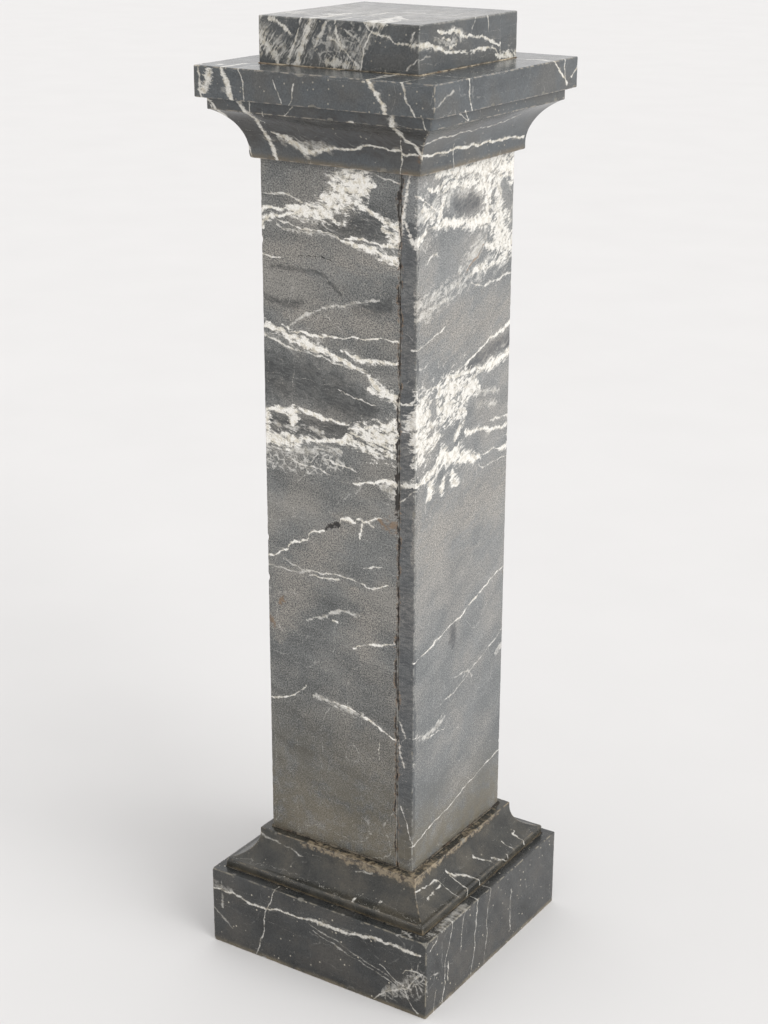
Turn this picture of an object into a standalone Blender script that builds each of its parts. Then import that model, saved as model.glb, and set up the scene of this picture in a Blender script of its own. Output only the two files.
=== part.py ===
"""Marble pedestal column, square on plan: plinth, coved base moulding, shaft of four slabs, coved cap and top block.

Metres, +Z up. The origin is on the floor, at the middle of the plinth. The shaft's front is its -Y side.
"""
import math

import bmesh
import bpy
from mathutils import Vector

# Driving dimensions
PLINTH_WIDTH = 0.300
PLINTH_HEIGHT = 0.098
BASE_FOOT_WIDTH = 0.276
BASE_FOOT_HEIGHT = 0.0115
BASE_COVE_HEIGHT = 0.031
BASE_SEAT_WIDTH = 0.217
BASE_SEAT_BAND = 0.0055
SHAFT_WIDTH = 0.195
SHAFT_HEIGHT = 0.790
SLAB_THICKNESS = 0.020
CAP_FOOT_WIDTH = 0.212
CAP_FOOT_BAND = 0.006
CAP_COVE_HEIGHT = 0.045
CAP_FILLET_WIDTH = 0.272
CAP_FILLET_HEIGHT = 0.0125
ABACUS_WIDTH = 0.290
ABACUS_HEIGHT = 0.0325
TOP_BLOCK_WIDTH = 0.194
TOP_BLOCK_HEIGHT = 0.048

# Details
JOINT_GAP = 0.0003
COVE_SHOULDER = 0.0015
COVE_STEPS = 12
ARRIS_EASE = 0.0012
SLAB_EASE = 0.0008
SHOULDER_EASE = 0.0030
EASE_SEGMENTS = 2
EASE_ANGLE = math.radians(40.0)
PLINTH_CHIP = 0.0075
CAP_CHIP = 0.0050

# Heights of the beds, from the floor up
BASE_BED = PLINTH_HEIGHT + JOINT_GAP
BASE_TOP = BASE_BED + BASE_FOOT_HEIGHT + BASE_COVE_HEIGHT + BASE_SEAT_BAND
SHAFT_BED = BASE_TOP + JOINT_GAP
SHAFT_TOP = SHAFT_BED + SHAFT_HEIGHT
CAP_BED = SHAFT_TOP + JOINT_GAP
CAP_TOP = CAP_BED + CAP_FOOT_BAND + CAP_COVE_HEIGHT + CAP_FILLET_HEIGHT + ABACUS_HEIGHT
TOP_BLOCK_BED = CAP_TOP + JOINT_GAP

# Plan corners, going round counter-clockwise from the front left one
CORNERS = ((-1, -1), (1, -1), (1, 1), (-1, 1))


def clear_scene():
    """Removes whatever objects the scene starts with."""
    for obj in list(bpy.data.objects):
        bpy.data.objects.remove(obj)


def marble(name, colour, roughness):
    """A plain Principled material in the stone's mean colour."""
    material = bpy.data.materials.new(name)
    material.use_nodes = True
    shader = material.node_tree.nodes["Principled BSDF"]
    shader.inputs["Base Color"].default_value = (*colour, 1.0)
    shader.inputs["Roughness"].default_value = roughness
    shader.inputs["Metallic"].default_value = 0.0
    return material


def link_mesh(name, body, material):
    """Turns a bmesh into a named object with its material."""
    bmesh.ops.recalc_face_normals(body, faces=body.faces)
    mesh = bpy.data.meshes.new(name)
    body.to_mesh(mesh)
    body.free()
    mesh.materials.append(material)
    obj = bpy.data.objects.new(name, mesh)
    bpy.context.scene.collection.objects.link(obj)
    return obj


def ease_arrises(obj, width):
    """Rounds the arrises over, as a mason rubs them down."""
    bevel = obj.modifiers.new("eased arrises", "BEVEL")
    bevel.width = width
    bevel.segments = EASE_SEGMENTS
    bevel.limit_method = "ANGLE"
    bevel.angle_limit = EASE_ANGLE


def cove(neck_half, neck_z, lip_half, lip_z):
    """Points of a hollow quarter round, from its upright neck out to its lip.

    The arc starts upright at the neck and ends at the lip, so its radius follows from the two ends.
    """
    run = lip_half - neck_half
    rise = abs(lip_z - neck_z)
    way = 1 if lip_z > neck_z else -1
    radius = (run * run + rise * rise) / (2.0 * run)
    sweep = 2.0 * math.atan2(run, rise)
    points = []
    for step in range(COVE_STEPS + 1):
        angle = sweep * step / COVE_STEPS
        half = neck_half + radius * (1.0 - math.cos(angle))
        height = neck_z + way * radius * math.sin(angle)
        points.append((half, height))
    return points


def square_body(profile):
    """Lofts a closed square body through (half width, height) pairs, listed from the bed up."""
    body = bmesh.new()
    rings = []
    for half, height in profile:
        rings.append([body.verts.new((x * half, y * half, height)) for x, y in CORNERS])
    body.faces.new(reversed(rings[0]))
    for lower, upper in zip(rings, rings[1:]):
        for side in range(4):
            after = (side + 1) % 4
            body.faces.new((lower[side], lower[after], upper[after], upper[side]))
    body.faces.new(rings[-1])
    return body


def knock_off_corner(body, corner, size, lean):
    """Breaks a corner off a body along a plane that cuts its arrises about as far in as size.

    corner is the sharp corner's place, and lean weighs how steeply the break falls to each side.
    """
    outward = Vector((math.copysign(lean[0], corner[0]), math.copysign(lean[1], corner[1]), lean[2])).normalized()
    place = Vector(corner) - outward * size * 0.5
    shape = body.verts[:] + body.edges[:] + body.faces[:]
    cut = bmesh.ops.bisect_plane(body, geom=shape, plane_co=place, plane_no=outward, clear_outer=True)
    rim = [item for item in cut["geom_cut"] if isinstance(item, bmesh.types.BMEdge)]
    bmesh.ops.edgeloop_fill(body, edges=rim)


def slab_body(low, high):
    """A plain rectangular slab between two corners."""
    body = bmesh.new()
    bmesh.ops.create_cube(body, size=1.0)
    size = Vector(high) - Vector(low)
    middle = (Vector(high) + Vector(low)) / 2.0
    bmesh.ops.scale(body, vec=size, verts=body.verts)
    bmesh.ops.translate(body, vec=middle, verts=body.verts)
    return body


def make_plinth(material):
    """The square block on the floor, with its front corner broken."""
    half = PLINTH_WIDTH / 2.0
    body = square_body([(half, 0.0), (half, PLINTH_HEIGHT)])
    knock_off_corner(body, (half, -half, PLINTH_HEIGHT), PLINTH_CHIP, (0.8, 0.9, 1.0))
    ease_arrises(link_mesh("plinth", body, material), ARRIS_EASE)


def make_base_moulding(material):
    """The stone between plinth and shaft: a low foot, a cove that rises from it, and an upright band."""
    foot_half = BASE_FOOT_WIDTH / 2.0
    seat_half = BASE_SEAT_WIDTH / 2.0
    shoulder_z = BASE_BED + BASE_FOOT_HEIGHT
    neck_z = shoulder_z + BASE_COVE_HEIGHT
    hollow = cove(seat_half, neck_z, foot_half - COVE_SHOULDER - SHOULDER_EASE, shoulder_z)
    rounding = []
    for angle in (90.0, 60.0, 30.0, 0.0):
        turn = math.radians(angle)
        rounding.append((foot_half - SHOULDER_EASE * (1.0 - math.cos(turn)),
                         shoulder_z - SHOULDER_EASE * (1.0 - math.sin(turn))))
    profile = [(foot_half, BASE_BED)] + list(reversed(rounding)) + list(reversed(hollow)) + [(seat_half, BASE_TOP)]
    ease_arrises(link_mesh("base_moulding", square_body(profile), material), ARRIS_EASE)


def make_shaft(material):
    """The hollow square shaft: four slabs butted at the corners.

    The right slab runs the full depth and shows its front edge. The front and back slabs butt against it
    and run to the left corners, and the left slab stands between them.
    """
    half = SHAFT_WIDTH / 2.0
    inner = half - SLAB_THICKNESS
    butt = inner - JOINT_GAP
    slabs = {
        "shaft_right_slab": ((inner, -half), (half, half)),
        "shaft_front_slab": ((-half, -half), (butt, -inner)),
        "shaft_back_slab": ((-half, inner), (butt, half)),
        "shaft_left_slab": ((-half, -butt), (-inner, butt)),
    }
    for name, (low, high) in slabs.items():
        body = slab_body((*low, SHAFT_BED), (*high, SHAFT_TOP))
        ease_arrises(link_mesh(name, body, material), SLAB_EASE)


def make_cap(material):
    """The cap, carved in one stone: a foot band, a cove that spreads to a fillet, and the abacus slab."""
    foot_half = CAP_FOOT_WIDTH / 2.0
    fillet_half = CAP_FILLET_WIDTH / 2.0
    abacus_half = ABACUS_WIDTH / 2.0
    neck_z = CAP_BED + CAP_FOOT_BAND
    fillet_z = neck_z + CAP_COVE_HEIGHT
    abacus_z = fillet_z + CAP_FILLET_HEIGHT
    hollow = cove(foot_half, neck_z, fillet_half - COVE_SHOULDER, fillet_z)
    profile = [(foot_half, CAP_BED)] + hollow
    profile += [(fillet_half, fillet_z), (fillet_half, abacus_z), (abacus_half, abacus_z), (abacus_half, CAP_TOP)]
    body = square_body(profile)
    knock_off_corner(body, (-foot_half, -foot_half, CAP_BED), CAP_CHIP, (0.9, 0.9, -1.0))
    ease_arrises(link_mesh("cap", body, material), ARRIS_EASE)


def make_top_block(material):
    """The loose square block on the abacus, which carries whatever the pedestal shows off."""
    half = TOP_BLOCK_WIDTH / 2.0
    body = square_body([(half, TOP_BLOCK_BED), (half, TOP_BLOCK_BED + TOP_BLOCK_HEIGHT)])
    ease_arrises(link_mesh("top_block", body, material), ARRIS_EASE)


def main():
    """Builds the pedestal from the floor up."""
    clear_scene()
    polished = marble("polished dark marble", (0.072, 0.076, 0.078), 0.22)
    weathered = marble("weathered dark marble", (0.125, 0.122, 0.115), 0.50)
    make_plinth(polished)
    make_base_moulding(polished)
    make_shaft(weathered)
    make_cap(polished)
    make_top_block(polished)


main()
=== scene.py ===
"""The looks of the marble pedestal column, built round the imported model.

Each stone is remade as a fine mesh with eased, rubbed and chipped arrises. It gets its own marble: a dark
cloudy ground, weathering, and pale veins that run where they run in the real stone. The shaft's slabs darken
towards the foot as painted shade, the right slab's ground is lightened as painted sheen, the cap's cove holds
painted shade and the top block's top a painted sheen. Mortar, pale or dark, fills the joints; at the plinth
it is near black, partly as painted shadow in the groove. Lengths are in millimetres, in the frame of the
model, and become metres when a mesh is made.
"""

import logging
import math
import random
from dataclasses import dataclass
from enum import Enum
from functools import partial

import bpy
import numpy as np
from mathutils import Matrix, Vector


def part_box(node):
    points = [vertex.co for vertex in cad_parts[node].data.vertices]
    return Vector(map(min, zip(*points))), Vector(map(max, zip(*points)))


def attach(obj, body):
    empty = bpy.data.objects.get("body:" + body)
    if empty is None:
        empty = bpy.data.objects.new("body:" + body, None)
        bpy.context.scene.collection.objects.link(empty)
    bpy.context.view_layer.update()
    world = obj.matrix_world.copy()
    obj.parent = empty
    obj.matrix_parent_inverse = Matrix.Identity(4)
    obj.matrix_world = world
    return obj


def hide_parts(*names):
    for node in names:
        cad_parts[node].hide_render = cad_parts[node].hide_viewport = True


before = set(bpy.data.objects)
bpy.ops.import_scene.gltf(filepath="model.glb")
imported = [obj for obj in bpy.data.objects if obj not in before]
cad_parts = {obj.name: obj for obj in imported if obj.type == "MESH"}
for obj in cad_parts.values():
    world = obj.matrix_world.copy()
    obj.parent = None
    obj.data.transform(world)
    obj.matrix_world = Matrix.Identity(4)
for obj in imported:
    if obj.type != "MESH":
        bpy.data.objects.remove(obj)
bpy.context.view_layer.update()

LOG = logging.getLogger("pedestal")
MM = 0.001
SHARP_ANGLE = math.radians(38)
PLAN_CORNERS = ((1, -1), (1, 1), (-1, 1), (-1, -1))
# Width of the rings of faces on a bed, in mm, before one face closes it
BED = 26.0


class Face(Enum):
    """A side of a stone, as seen from the front."""

    FRONT = "front"
    RIGHT = "right"
    BACK = "back"
    LEFT = "left"
    TOP = "top"


class Kind(Enum):
    """What a mark in the marble looks like."""

    BAND = "ragged white band with dark flecks"
    THREAD = "crisp pale line about a millimetre wide"
    WISP = "faint grey line"
    MASS = "mottled patch, half white and half ground"
    # Besides the marble's own dark clouds, this also lays the painted shade in the cap's cove
    SHADE = "smooth dark cloud"
    # Also lays the painted sheen on the top block's top
    STAIN = "warm dusty, grainy weathering"
    HOLE = "dark island in a white mass"
    NET = "field of fine crossing lines"
    PIT = "dark chip or hole"
    RUST = "rusty earth in a joint"


FRONT, RIGHT, BACK, LEFT, TOP = Face
BAND, THREAD, WISP, MASS, SHADE, STAIN, HOLE, NET, PIT, RUST = Kind


@dataclass(frozen=True)
class Edge:
    """How a kind of mark ends. Its edge swings along the stone's layers, in lumps and from fibre to fibre.

    Cover is at its most up to whole, and nothing from gone on. All but most are in half widths of the mark.
    """

    along: float
    lumps: float
    fibres: float
    whole: float
    gone: float
    most: float = 1.0


EDGES = {
    BAND: Edge(5.0, 4.0, 5.0, 0.25, 1.5, 0.97),
    THREAD: Edge(4.0, 3.0, 4.0, -0.1, 1.2, 0.8),
    WISP: Edge(6.0, 5.0, 7.0, -0.6, 1.6, 0.55),
    MASS: Edge(5.0, 5.0, 7.0, 0.3, 1.5, 0.9),
    SHADE: Edge(3.0, 3.0, 0.0, 0.4, 1.6),
    STAIN: Edge(5.0, 3.0, 0.0, -0.4, 1.5, 0.72),
    HOLE: Edge(3.0, 4.0, 0.0, 0.6, 1.2, -0.92),
    NET: Edge(5.0, 8.0, 4.0, 0.0, 1.4, 0.5),
    PIT: Edge(3.0, 9.0, 0.0, 0.5, 1.1, 0.95),
    RUST: Edge(4.0, 6.0, 4.0, 0.0, 1.4, 0.72),
}


@dataclass(frozen=True)
class Vein:
    """One mark in a stone: a sheet that shows on a face as a line, and runs on into the stone.

    path holds (across, height) points on the face. widths are half widths at the two ends, or at every point.
    """

    name: str
    face: Face
    kind: Kind
    widths: tuple[float, ...]
    path: tuple[tuple[float, float], ...]


def on_face(face: Face, *marks: tuple) -> tuple[Vein, ...]:
    """Lays marks on one face of a stone.

    Args:
        face: the face.
        marks: for each mark its kind, its name, its half widths and then the points of its path, in mm.

    Returns:
        The veins.
    """
    return tuple(Vein(name, face, kind, widths, tuple(path)) for kind, name, widths, *path in marks)


def linear(hex_colour: str) -> tuple[float, float, float, float]:
    """Turns an sRGB colour into the linear one that shaders take.

    Args:
        hex_colour: six hex digits.

    Returns:
        Red, green, blue and alpha.
    """
    channels = []
    for start in (0, 2, 4):
        value = int(hex_colour[start:start + 2], 16) / 255.0
        channels.append(value / 12.92 if value <= 0.04045 else ((value + 0.055) / 1.055) ** 2.4)
    return (*channels, 1.0)


def add_node(tree: bpy.types.NodeTree, kind: str, inputs: dict | None = None, settings: dict | None = None,
             out: int | str = 0):
    """Adds a node with its values, links and settings.

    Args:
        tree: the node tree.
        kind: the node's type.
        inputs: values or output sockets, by input name or number.
        settings: its properties by name.
        out: the output that is wanted.

    Returns:
        That output, or the node where it has none.
    """
    node = tree.nodes.new(kind)
    for name, value in (settings or {}).items():
        setattr(node, name, value)
    for name, value in (inputs or {}).items():
        socket = node.inputs[name]
        if isinstance(value, bpy.types.NodeSocket):
            tree.links.new(value, socket)
        else:
            socket.default_value = value
    return node.outputs[out] if len(node.outputs) else node


def blank_material(name: str) -> tuple[bpy.types.Material, partial]:
    """Makes a material without nodes.

    Args:
        name: its name.

    Returns:
        The material, and the function that adds a node to it.
    """
    material = bpy.data.materials.new(name)
    material.use_nodes = True
    material.node_tree.nodes.clear()
    return material, partial(add_node, material.node_tree)


def new_object(name: str, data: bpy.types.ID) -> bpy.types.Object:
    """Makes an object of a mesh, a camera or a light and links it to the scene.

    Args:
        name: its name.
        data: what it shows.

    Returns:
        The object.
    """
    obj = bpy.data.objects.new(name, data)
    bpy.context.scene.collection.objects.link(obj)
    return obj


MATH = "ShaderNodeMath"
VECTOR = "ShaderNodeVectorMath"
NOISE = "ShaderNodeTexNoise"
CELLS = "ShaderNodeTexVoronoi"
RANGE = "ShaderNodeMapRange"
MIX = "ShaderNodeMix"
ADD = {"operation": "ADD"}
SUBTRACT = {"operation": "SUBTRACT"}
MULTIPLY = {"operation": "MULTIPLY"}
MULTIPLY_ADD = {"operation": "MULTIPLY_ADD"}
MAXIMUM = {"operation": "MAXIMUM"}
MINIMUM = {"operation": "MINIMUM"}
DIVIDE = {"operation": "DIVIDE"}
ABSOLUTE = {"operation": "ABSOLUTE"}
SCALE = {"operation": "SCALE"}
SMOOTH = {"interpolation_type": "SMOOTHSTEP"}
COLOURS = {"data_type": "RGBA"}
MULTIPLIED = {"data_type": "RGBA", "blend_type": "MULTIPLY"}


@dataclass(frozen=True)
class MarbleFinish:
    """How a stone's marble is made up, from its ground to the wear on it. Sizes and heights are in mm.

    cloud, strata and grain say how far each moves the ground from dark to light. ragged scales the swing of
    the veins' edges, and wander is how much their runs shake.
    """

    dark: str
    light: str
    warm: str
    cloud: float
    cloud_size: float
    strata: float
    grain: float
    hairlines: float
    flecks: float
    roughness: float
    roughness_spread: float
    relief: float
    foot_stain: float
    grain_size: float = 1.6
    # Painted shade: how much darker the stone is made at its foot, where the light falls off
    painted_foot_shade: float = 0.0
    stain: str = "6f6149"
    dust: str = "9f9a91"
    between: str = "66645f"
    earth: str = "7d654b"
    vein: str = "ebe8e1"
    warm_vein: str = "d3cab5"
    shade: str = "5a5b59"
    rubbed: str = "8f8f8a"
    broken: str = "77746c"
    ragged: float = 1.0
    wander: float = 0.66


class MarbleMaterial:
    """One stone's marble: a finish, with the veins that run through that stone.

    The grounds are black-grey limestone marble. Polished, it mirrors the room faintly at a steep angle and
    more at a shallow one. Weathered, it turns a dry mid grey with a salt-and-pepper grain.
    """

    # Sizes of the patterns in mm: how far the veins wander and over what length, then what mottles the stone
    WANDER = 15.0
    WANDER_SIZE = 26.0
    STREAK = 9.0
    FIBRE = 2.6
    LUMP = 7.0
    LAYER = 34.0
    BLOTCH = 20.0
    HAIRLINES = 70.0
    FLECKS = 6.0
    NET = 8.0
    RUBBED = 8.0
    SMUDGE = 22.0
    UNEVENNESS = 40.0
    # Height over which the painted shade at the foot fades out
    PAINTED_SHADE_HEIGHT = 400.0
    # Patterns in the layers are about four times as long as they are thick
    ALONG_LAYERS = 0.26
    # A vein that ends nearer an arris than this runs out over it, and any other comes to a point
    ARRIS_REACH = 4.0
    SHORTEST_POINT = 1.5
    POINTED = 0.02

    def __init__(self, name: str, finish: MarbleFinish, veins: tuple[Vein, ...], low: Vector, high: Vector,
                 overlap: float = 3.0, dip: tuple[float, float] = (0.0, 0.0)):
        """Keeps what the material is made from.

        Args:
            name: the material's name.
            finish: the make-up of the ground.
            veins: the marks in this stone.
            low: the stone's lowest corner in mm.
            high: its highest corner in mm.
            overlap: how far a face's veins run round its arrises, in mm.
            dip: how much the stone's layers rise along X and along Y.
        """
        self.name = name
        self.finish = finish
        self.veins = veins
        self.low = low
        self.high = high
        self.overlap = overlap
        self.dip = dip
        self.nearest: dict[Kind, bpy.types.NodeSocket] = {}

    def build(self) -> bpy.types.Material:
        """Builds the node tree.

        Returns:
            The material.
        """
        material, add = blank_material(self.name)
        self.add = add
        self._find_place()
        self._measure_veins()
        tone = self._tone()
        colour = self._ground(tone)
        colour, veined = self._veined(colour)
        colour = self._worn(colour)
        roughness = self._roughness(veined)
        normal = self._relief()
        shader = add("ShaderNodeBsdfPrincipled", {
            "Base Color": colour, "Roughness": roughness, "IOR": 1.52, "Normal": normal})
        add("ShaderNodeOutputMaterial", {"Surface": shader})
        return material

    def _find_place(self) -> None:
        """Sets out the point in mm, the same point drifted for the veins, and its three coordinates."""
        add = self.add
        spot = add("ShaderNodeTexCoord", out="Object")
        self.place = add(VECTOR, {0: spot, "Scale": 1.0 / MM}, SCALE)
        drift = add(NOISE, {
            "Vector": self.place, "Scale": 1 / self.WANDER_SIZE, "Detail": 5.0,
            "Roughness": self.finish.wander}, out="Color")
        moved = add(VECTOR, {0: drift, 1: (self.WANDER,) * 3, 2: self.place}, MULTIPLY_ADD)
        self.drifted = add(VECTOR, {0: moved, 1: (self.WANDER / 2,) * 3}, SUBTRACT)
        layer = add(VECTOR, {
            0: self.drifted, 1: (-self.dip[0], -self.dip[1], 1.0)}, {"operation": "DOT_PRODUCT"}, "Value")
        along = add(VECTOR, {0: self.drifted, 1: (self.ALONG_LAYERS, self.ALONG_LAYERS, 0.0)}, MULTIPLY)
        upward = add("ShaderNodeCombineXYZ", {2: layer})
        self.layered = add(VECTOR, {0: along, 1: upward}, ADD)
        self.streaks = add(NOISE, {
            "Vector": self.layered, "Scale": 1 / self.STREAK, "Detail": 4.5, "Roughness": 0.7})
        self.fibres = add(NOISE, {
            "Vector": self.layered, "Scale": 1 / self.FIBRE, "Detail": 2.0, "Roughness": 0.7})
        self.lumps = add(NOISE, {
            "Vector": self.drifted, "Scale": 1 / self.LUMP, "Detail": 4.0, "Roughness": 0.7})
        split = add("ShaderNodeSeparateXYZ", {0: self.drifted}).node
        self.x, self.y, self.z = split.outputs
        true_split = add("ShaderNodeSeparateXYZ", {0: self.place}).node
        self.height = true_split.outputs[2]

    def _lay_out(self, face: Face) -> tuple[bpy.types.NodeSocket, bpy.types.NodeSocket, bpy.types.NodeSocket]:
        """Lays a face out flat.

        Args:
            face: the face.

        Returns:
            The point's place across and up the face, and how far it lies outside the face's share, all in mm.
        """
        add = self.add
        if face is TOP:
            outside = add(MATH, {0: self.high.z - 1.5, 1: self.height}, SUBTRACT)
            return self.x, self.y, add(MATH, {0: outside, 1: 0.0}, MAXIMUM)
        sideways = face in (RIGHT, LEFT)
        across = self.y if sideways else self.x
        depth = self.x if sideways else self.y
        off = add(MATH, {0: across}, ABSOLUTE)
        inward = SUBTRACT if face in (RIGHT, BACK) else ADD
        outside = add(MATH, {0: off, 1: depth}, inward)
        outside = add(MATH, {0: outside, 1: self.overlap}, SUBTRACT)
        return across, self.z, add(MATH, {0: outside, 1: 0.0}, MAXIMUM)

    def _limits(self, face: Face, upright: bool) -> tuple[float, float]:
        """Gives the two arrises that a vein on a face can run out over.

        Args:
            face: the face.
            upright: whether the vein runs up the face rather than across it.

        Returns:
            The arrises' places in mm.
        """
        if face is TOP:
            axis = 1 if upright else 0
        elif upright:
            axis = 2
        else:
            axis = 1 if face in (RIGHT, LEFT) else 0
        return self.low[axis], self.high[axis]

    def _measure_veins(self) -> None:
        """Finds for each kind of mark how far the nearest one is, in half widths of that mark."""
        add = self.add
        for face in Face:
            marks = [vein for vein in self.veins if vein.face is face]
            if not marks:
                continue
            across, up, outside = self._lay_out(face)
            for kind in Kind:
                nearest = None
                for vein in marks:
                    if vein.kind is kind:
                        nearest = self._follow(vein, across, up, nearest)
                if nearest is None:
                    continue
                nearest = add(MATH, {0: nearest, 1: outside}, ADD)
                if kind in self.nearest:
                    nearest = add(MATH, {0: nearest, 1: self.nearest[kind]}, MINIMUM)
                self.nearest[kind] = nearest

    def _follow(self, vein: Vein, across: bpy.types.NodeSocket, up: bpy.types.NodeSocket,
                nearest: bpy.types.NodeSocket | None) -> bpy.types.NodeSocket:
        """Measures one vein: one curve gives its place along its run, and a second one its half width.

        Args:
            vein: the vein.
            across: the point's place across the face.
            up: the point's place up the face.
            nearest: the nearest mark so far, or None at the first.

        Returns:
            The new nearest.
        """
        add = self.add
        wide = abs(vein.path[-1][0] - vein.path[0][0])
        tall = abs(vein.path[-1][1] - vein.path[0][1])
        axis = 1 if tall > wide else 0
        run, side = (up, across) if axis else (across, up)
        step = 1 if vein.path[0][axis] < vein.path[-1][axis] else -1
        points = [(point[axis], point[1 - axis]) for point in vein.path[::step]]
        widths = self._widths(vein.face, axis, points, vein.widths[::step])
        start = widths[0][0]
        reach = widths[-1][0] - start
        place = add(MATH, {0: run, 1: 1 / reach, 2: -start / reach}, MULTIPLY_ADD)
        shapes = []
        for values in (points, widths):
            curve = add("ShaderNodeFloatCurve", {"Value": place}).node
            curve.mapping.use_clip = False
            curve.mapping.extend = "HORIZONTAL"
            line = curve.mapping.curves[0]
            spots = [((value[0] - start) / reach, value[1]) for value in values]
            line.points[0].location = spots[0]
            line.points[1].location = spots[-1]
            for spot in spots[1:-1]:
                line.points.new(*spot)
            for point in line.points:
                point.handle_type = "AUTO_CLAMPED"
            curve.mapping.update()
            shapes.append(curve.outputs[0])
        off = add(MATH, {0: side, 1: shapes[0]}, SUBTRACT)
        off = add(MATH, {0: off}, ABSOLUTE)
        share = add(MATH, {0: off, 1: shapes[1]}, DIVIDE)
        if nearest is None:
            return share
        return add(MATH, {0: share, 1: nearest}, MINIMUM)

    def _widths(self, face: Face, axis: int, points: list[tuple[float, float]],
                widths: tuple[float, ...]) -> list[tuple[float, float]]:
        """Sets a vein's half widths along its run, down to nothing at an end that doesn't run over an arris.

        Args:
            face: the vein's face.
            axis: 0 where the vein runs across the face, 1 where it runs up.
            points: its path, in the order of its run.
            widths: its half widths in the same order.

        Returns:
            (place along the run, half width) pairs, measured across the run.
        """
        length = max(points[-1][0] - points[0][0], 1.0)
        spread = math.hypot(1.0, abs(points[-1][1] - points[0][1]) / length)
        places = points if len(widths) == len(points) else (points[0], points[-1])
        pairs = [(place[0], width * spread) for place, width in zip(places, widths)]
        low, high = self._limits(face, bool(axis))
        if pairs[0][0] > low + self.ARRIS_REACH:
            pairs.insert(0, (pairs[0][0] - max(widths[0], self.SHORTEST_POINT), self.POINTED))
        if pairs[-1][0] < high - self.ARRIS_REACH:
            pairs.append((pairs[-1][0] + max(widths[-1], self.SHORTEST_POINT), self.POINTED))
        return pairs

    def _cover(self, kind: Kind) -> bpy.types.NodeSocket:
        """Turns the distance to the nearest mark of a kind into cover, with a ragged edge.

        Args:
            kind: the kind of mark.

        Returns:
            The cover, from 0 to the kind's most.
        """
        edge = EDGES[kind]
        distance = self.nearest[kind]
        middle = 0.0
        swings = ((self.streaks, edge.along), (self.lumps, edge.lumps), (self.fibres, edge.fibres))
        for texture, swing in swings:
            if swing:
                swing *= self.finish.ragged
                middle += swing / 2
                distance = self.add(MATH, {0: texture, 1: -swing, 2: distance}, MULTIPLY_ADD)
        return self.add(RANGE, {
            "Value": distance, "From Min": edge.whole - middle, "From Max": edge.gone - middle,
            "To Min": edge.most, "To Max": 0.0}, SMOOTH)

    def _tone(self) -> bpy.types.NodeSocket:
        """Mixes clouds, layers, streaks and grain into the ground's tone, calmer where it is smooth."""
        add = self.add
        finish = self.finish
        cloud = add(NOISE, {
            "Vector": self.place, "Scale": 1 / finish.cloud_size, "Detail": 4.0, "Roughness": 0.6})
        layers = add(NOISE, {
            "Vector": self.layered, "Scale": 1 / self.LAYER, "Detail": 3.0, "Roughness": 0.6})
        grain = add(NOISE, {
            "Vector": self.place, "Scale": 1 / finish.grain_size, "Detail": 2.0, "Roughness": 0.8})
        self.cloud = cloud
        self.grain = add(RANGE, {"Value": grain, "From Min": 0.41, "From Max": 0.58}, SMOOTH)
        share = add(MATH, {0: cloud, 1: 1.6 * finish.grain, 2: 0.2 * finish.grain}, MULTIPLY_ADD)
        if SHADE in self.nearest:
            self.smooth = self._cover(SHADE)
            rough = add(MATH, {0: self.smooth, 1: -0.4, 2: 1.0}, MULTIPLY_ADD)
            share = add(MATH, {0: share, 1: rough}, MULTIPLY)
        middle = 0.5 - finish.cloud / 2 - finish.strata * 0.7
        tone = add(MATH, {0: cloud, 1: finish.cloud, 2: middle}, MULTIPLY_ADD)
        tone = add(MATH, {0: layers, 1: finish.strata, 2: tone}, MULTIPLY_ADD)
        tone = add(MATH, {0: self.streaks, 1: finish.strata * 0.4, 2: tone}, MULTIPLY_ADD)
        # Painted shade: the tone darkens towards the foot, in place of the light falling off towards the
        # floor
        if finish.painted_foot_shade:
            painted_shade = add(RANGE, {
                "Value": self.height, "From Min": self.low.z, "From Max": self.low.z + self.PAINTED_SHADE_HEIGHT,
                "To Min": finish.painted_foot_shade, "To Max": 0.0}, SMOOTH)
            tone = add(MATH, {0: tone, 1: painted_shade}, SUBTRACT)
        centred = add(MATH, {0: grain, 1: 0.5}, SUBTRACT)
        tone = add(MATH, {0: centred, 1: share, 2: tone}, MULTIPLY_ADD)
        return add("ShaderNodeClamp", {"Value": tone})

    def _ground(self, tone: bpy.types.NodeSocket) -> bpy.types.NodeSocket:
        """Colours the ground: dark to light by tone, smooth dark clouds, ochre stains, hairlines and flecks.

        Args:
            tone: the ground's tone.

        Returns:
            The colour.
        """
        add = self.add
        finish = self.finish
        warmth = add(RANGE, {"Value": self.cloud, "From Min": 0.4, "From Max": 0.62}, SMOOTH)
        light = add(MIX, {0: warmth, 6: linear(finish.light), 7: linear(finish.warm)}, COLOURS, 2)
        colour = add(MIX, {0: tone, 6: linear(finish.dark), 7: light}, COLOURS, 2)
        # Smooth dark clouds of the marble; on the cap this is the painted shade in its cove
        if SHADE in self.nearest:
            mottled = add(RANGE, {
                "Value": self.fibres, "From Min": 0.34, "From Max": 0.62, "To Min": 0.8,
                "To Max": 0.45}, SMOOTH)
            depth = add(MATH, {0: self.smooth, 1: mottled}, MULTIPLY)
            colour = add(MIX, {0: depth, 6: colour, 7: linear(finish.shade)}, COLOURS, 2)
        patches = add(NOISE, {
            "Vector": self.place, "Scale": 1 / self.BLOTCH, "Detail": 6.0, "Roughness": 0.75})
        blotch = add(RANGE, {"Value": patches, "From Min": 0.28, "From Max": 0.58}, SMOOTH)
        foot = add(RANGE, {
            "Value": self.height, "From Min": self.low.z, "From Max": self.low.z + finish.foot_stain,
            "To Min": 0.62, "To Max": 0.0}, SMOOTH)
        foot = add(MATH, {0: foot, 1: blotch}, MULTIPLY)
        colour = add(MIX, {0: foot, 6: colour, 7: linear(finish.stain)}, COLOURS, 2)
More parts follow.
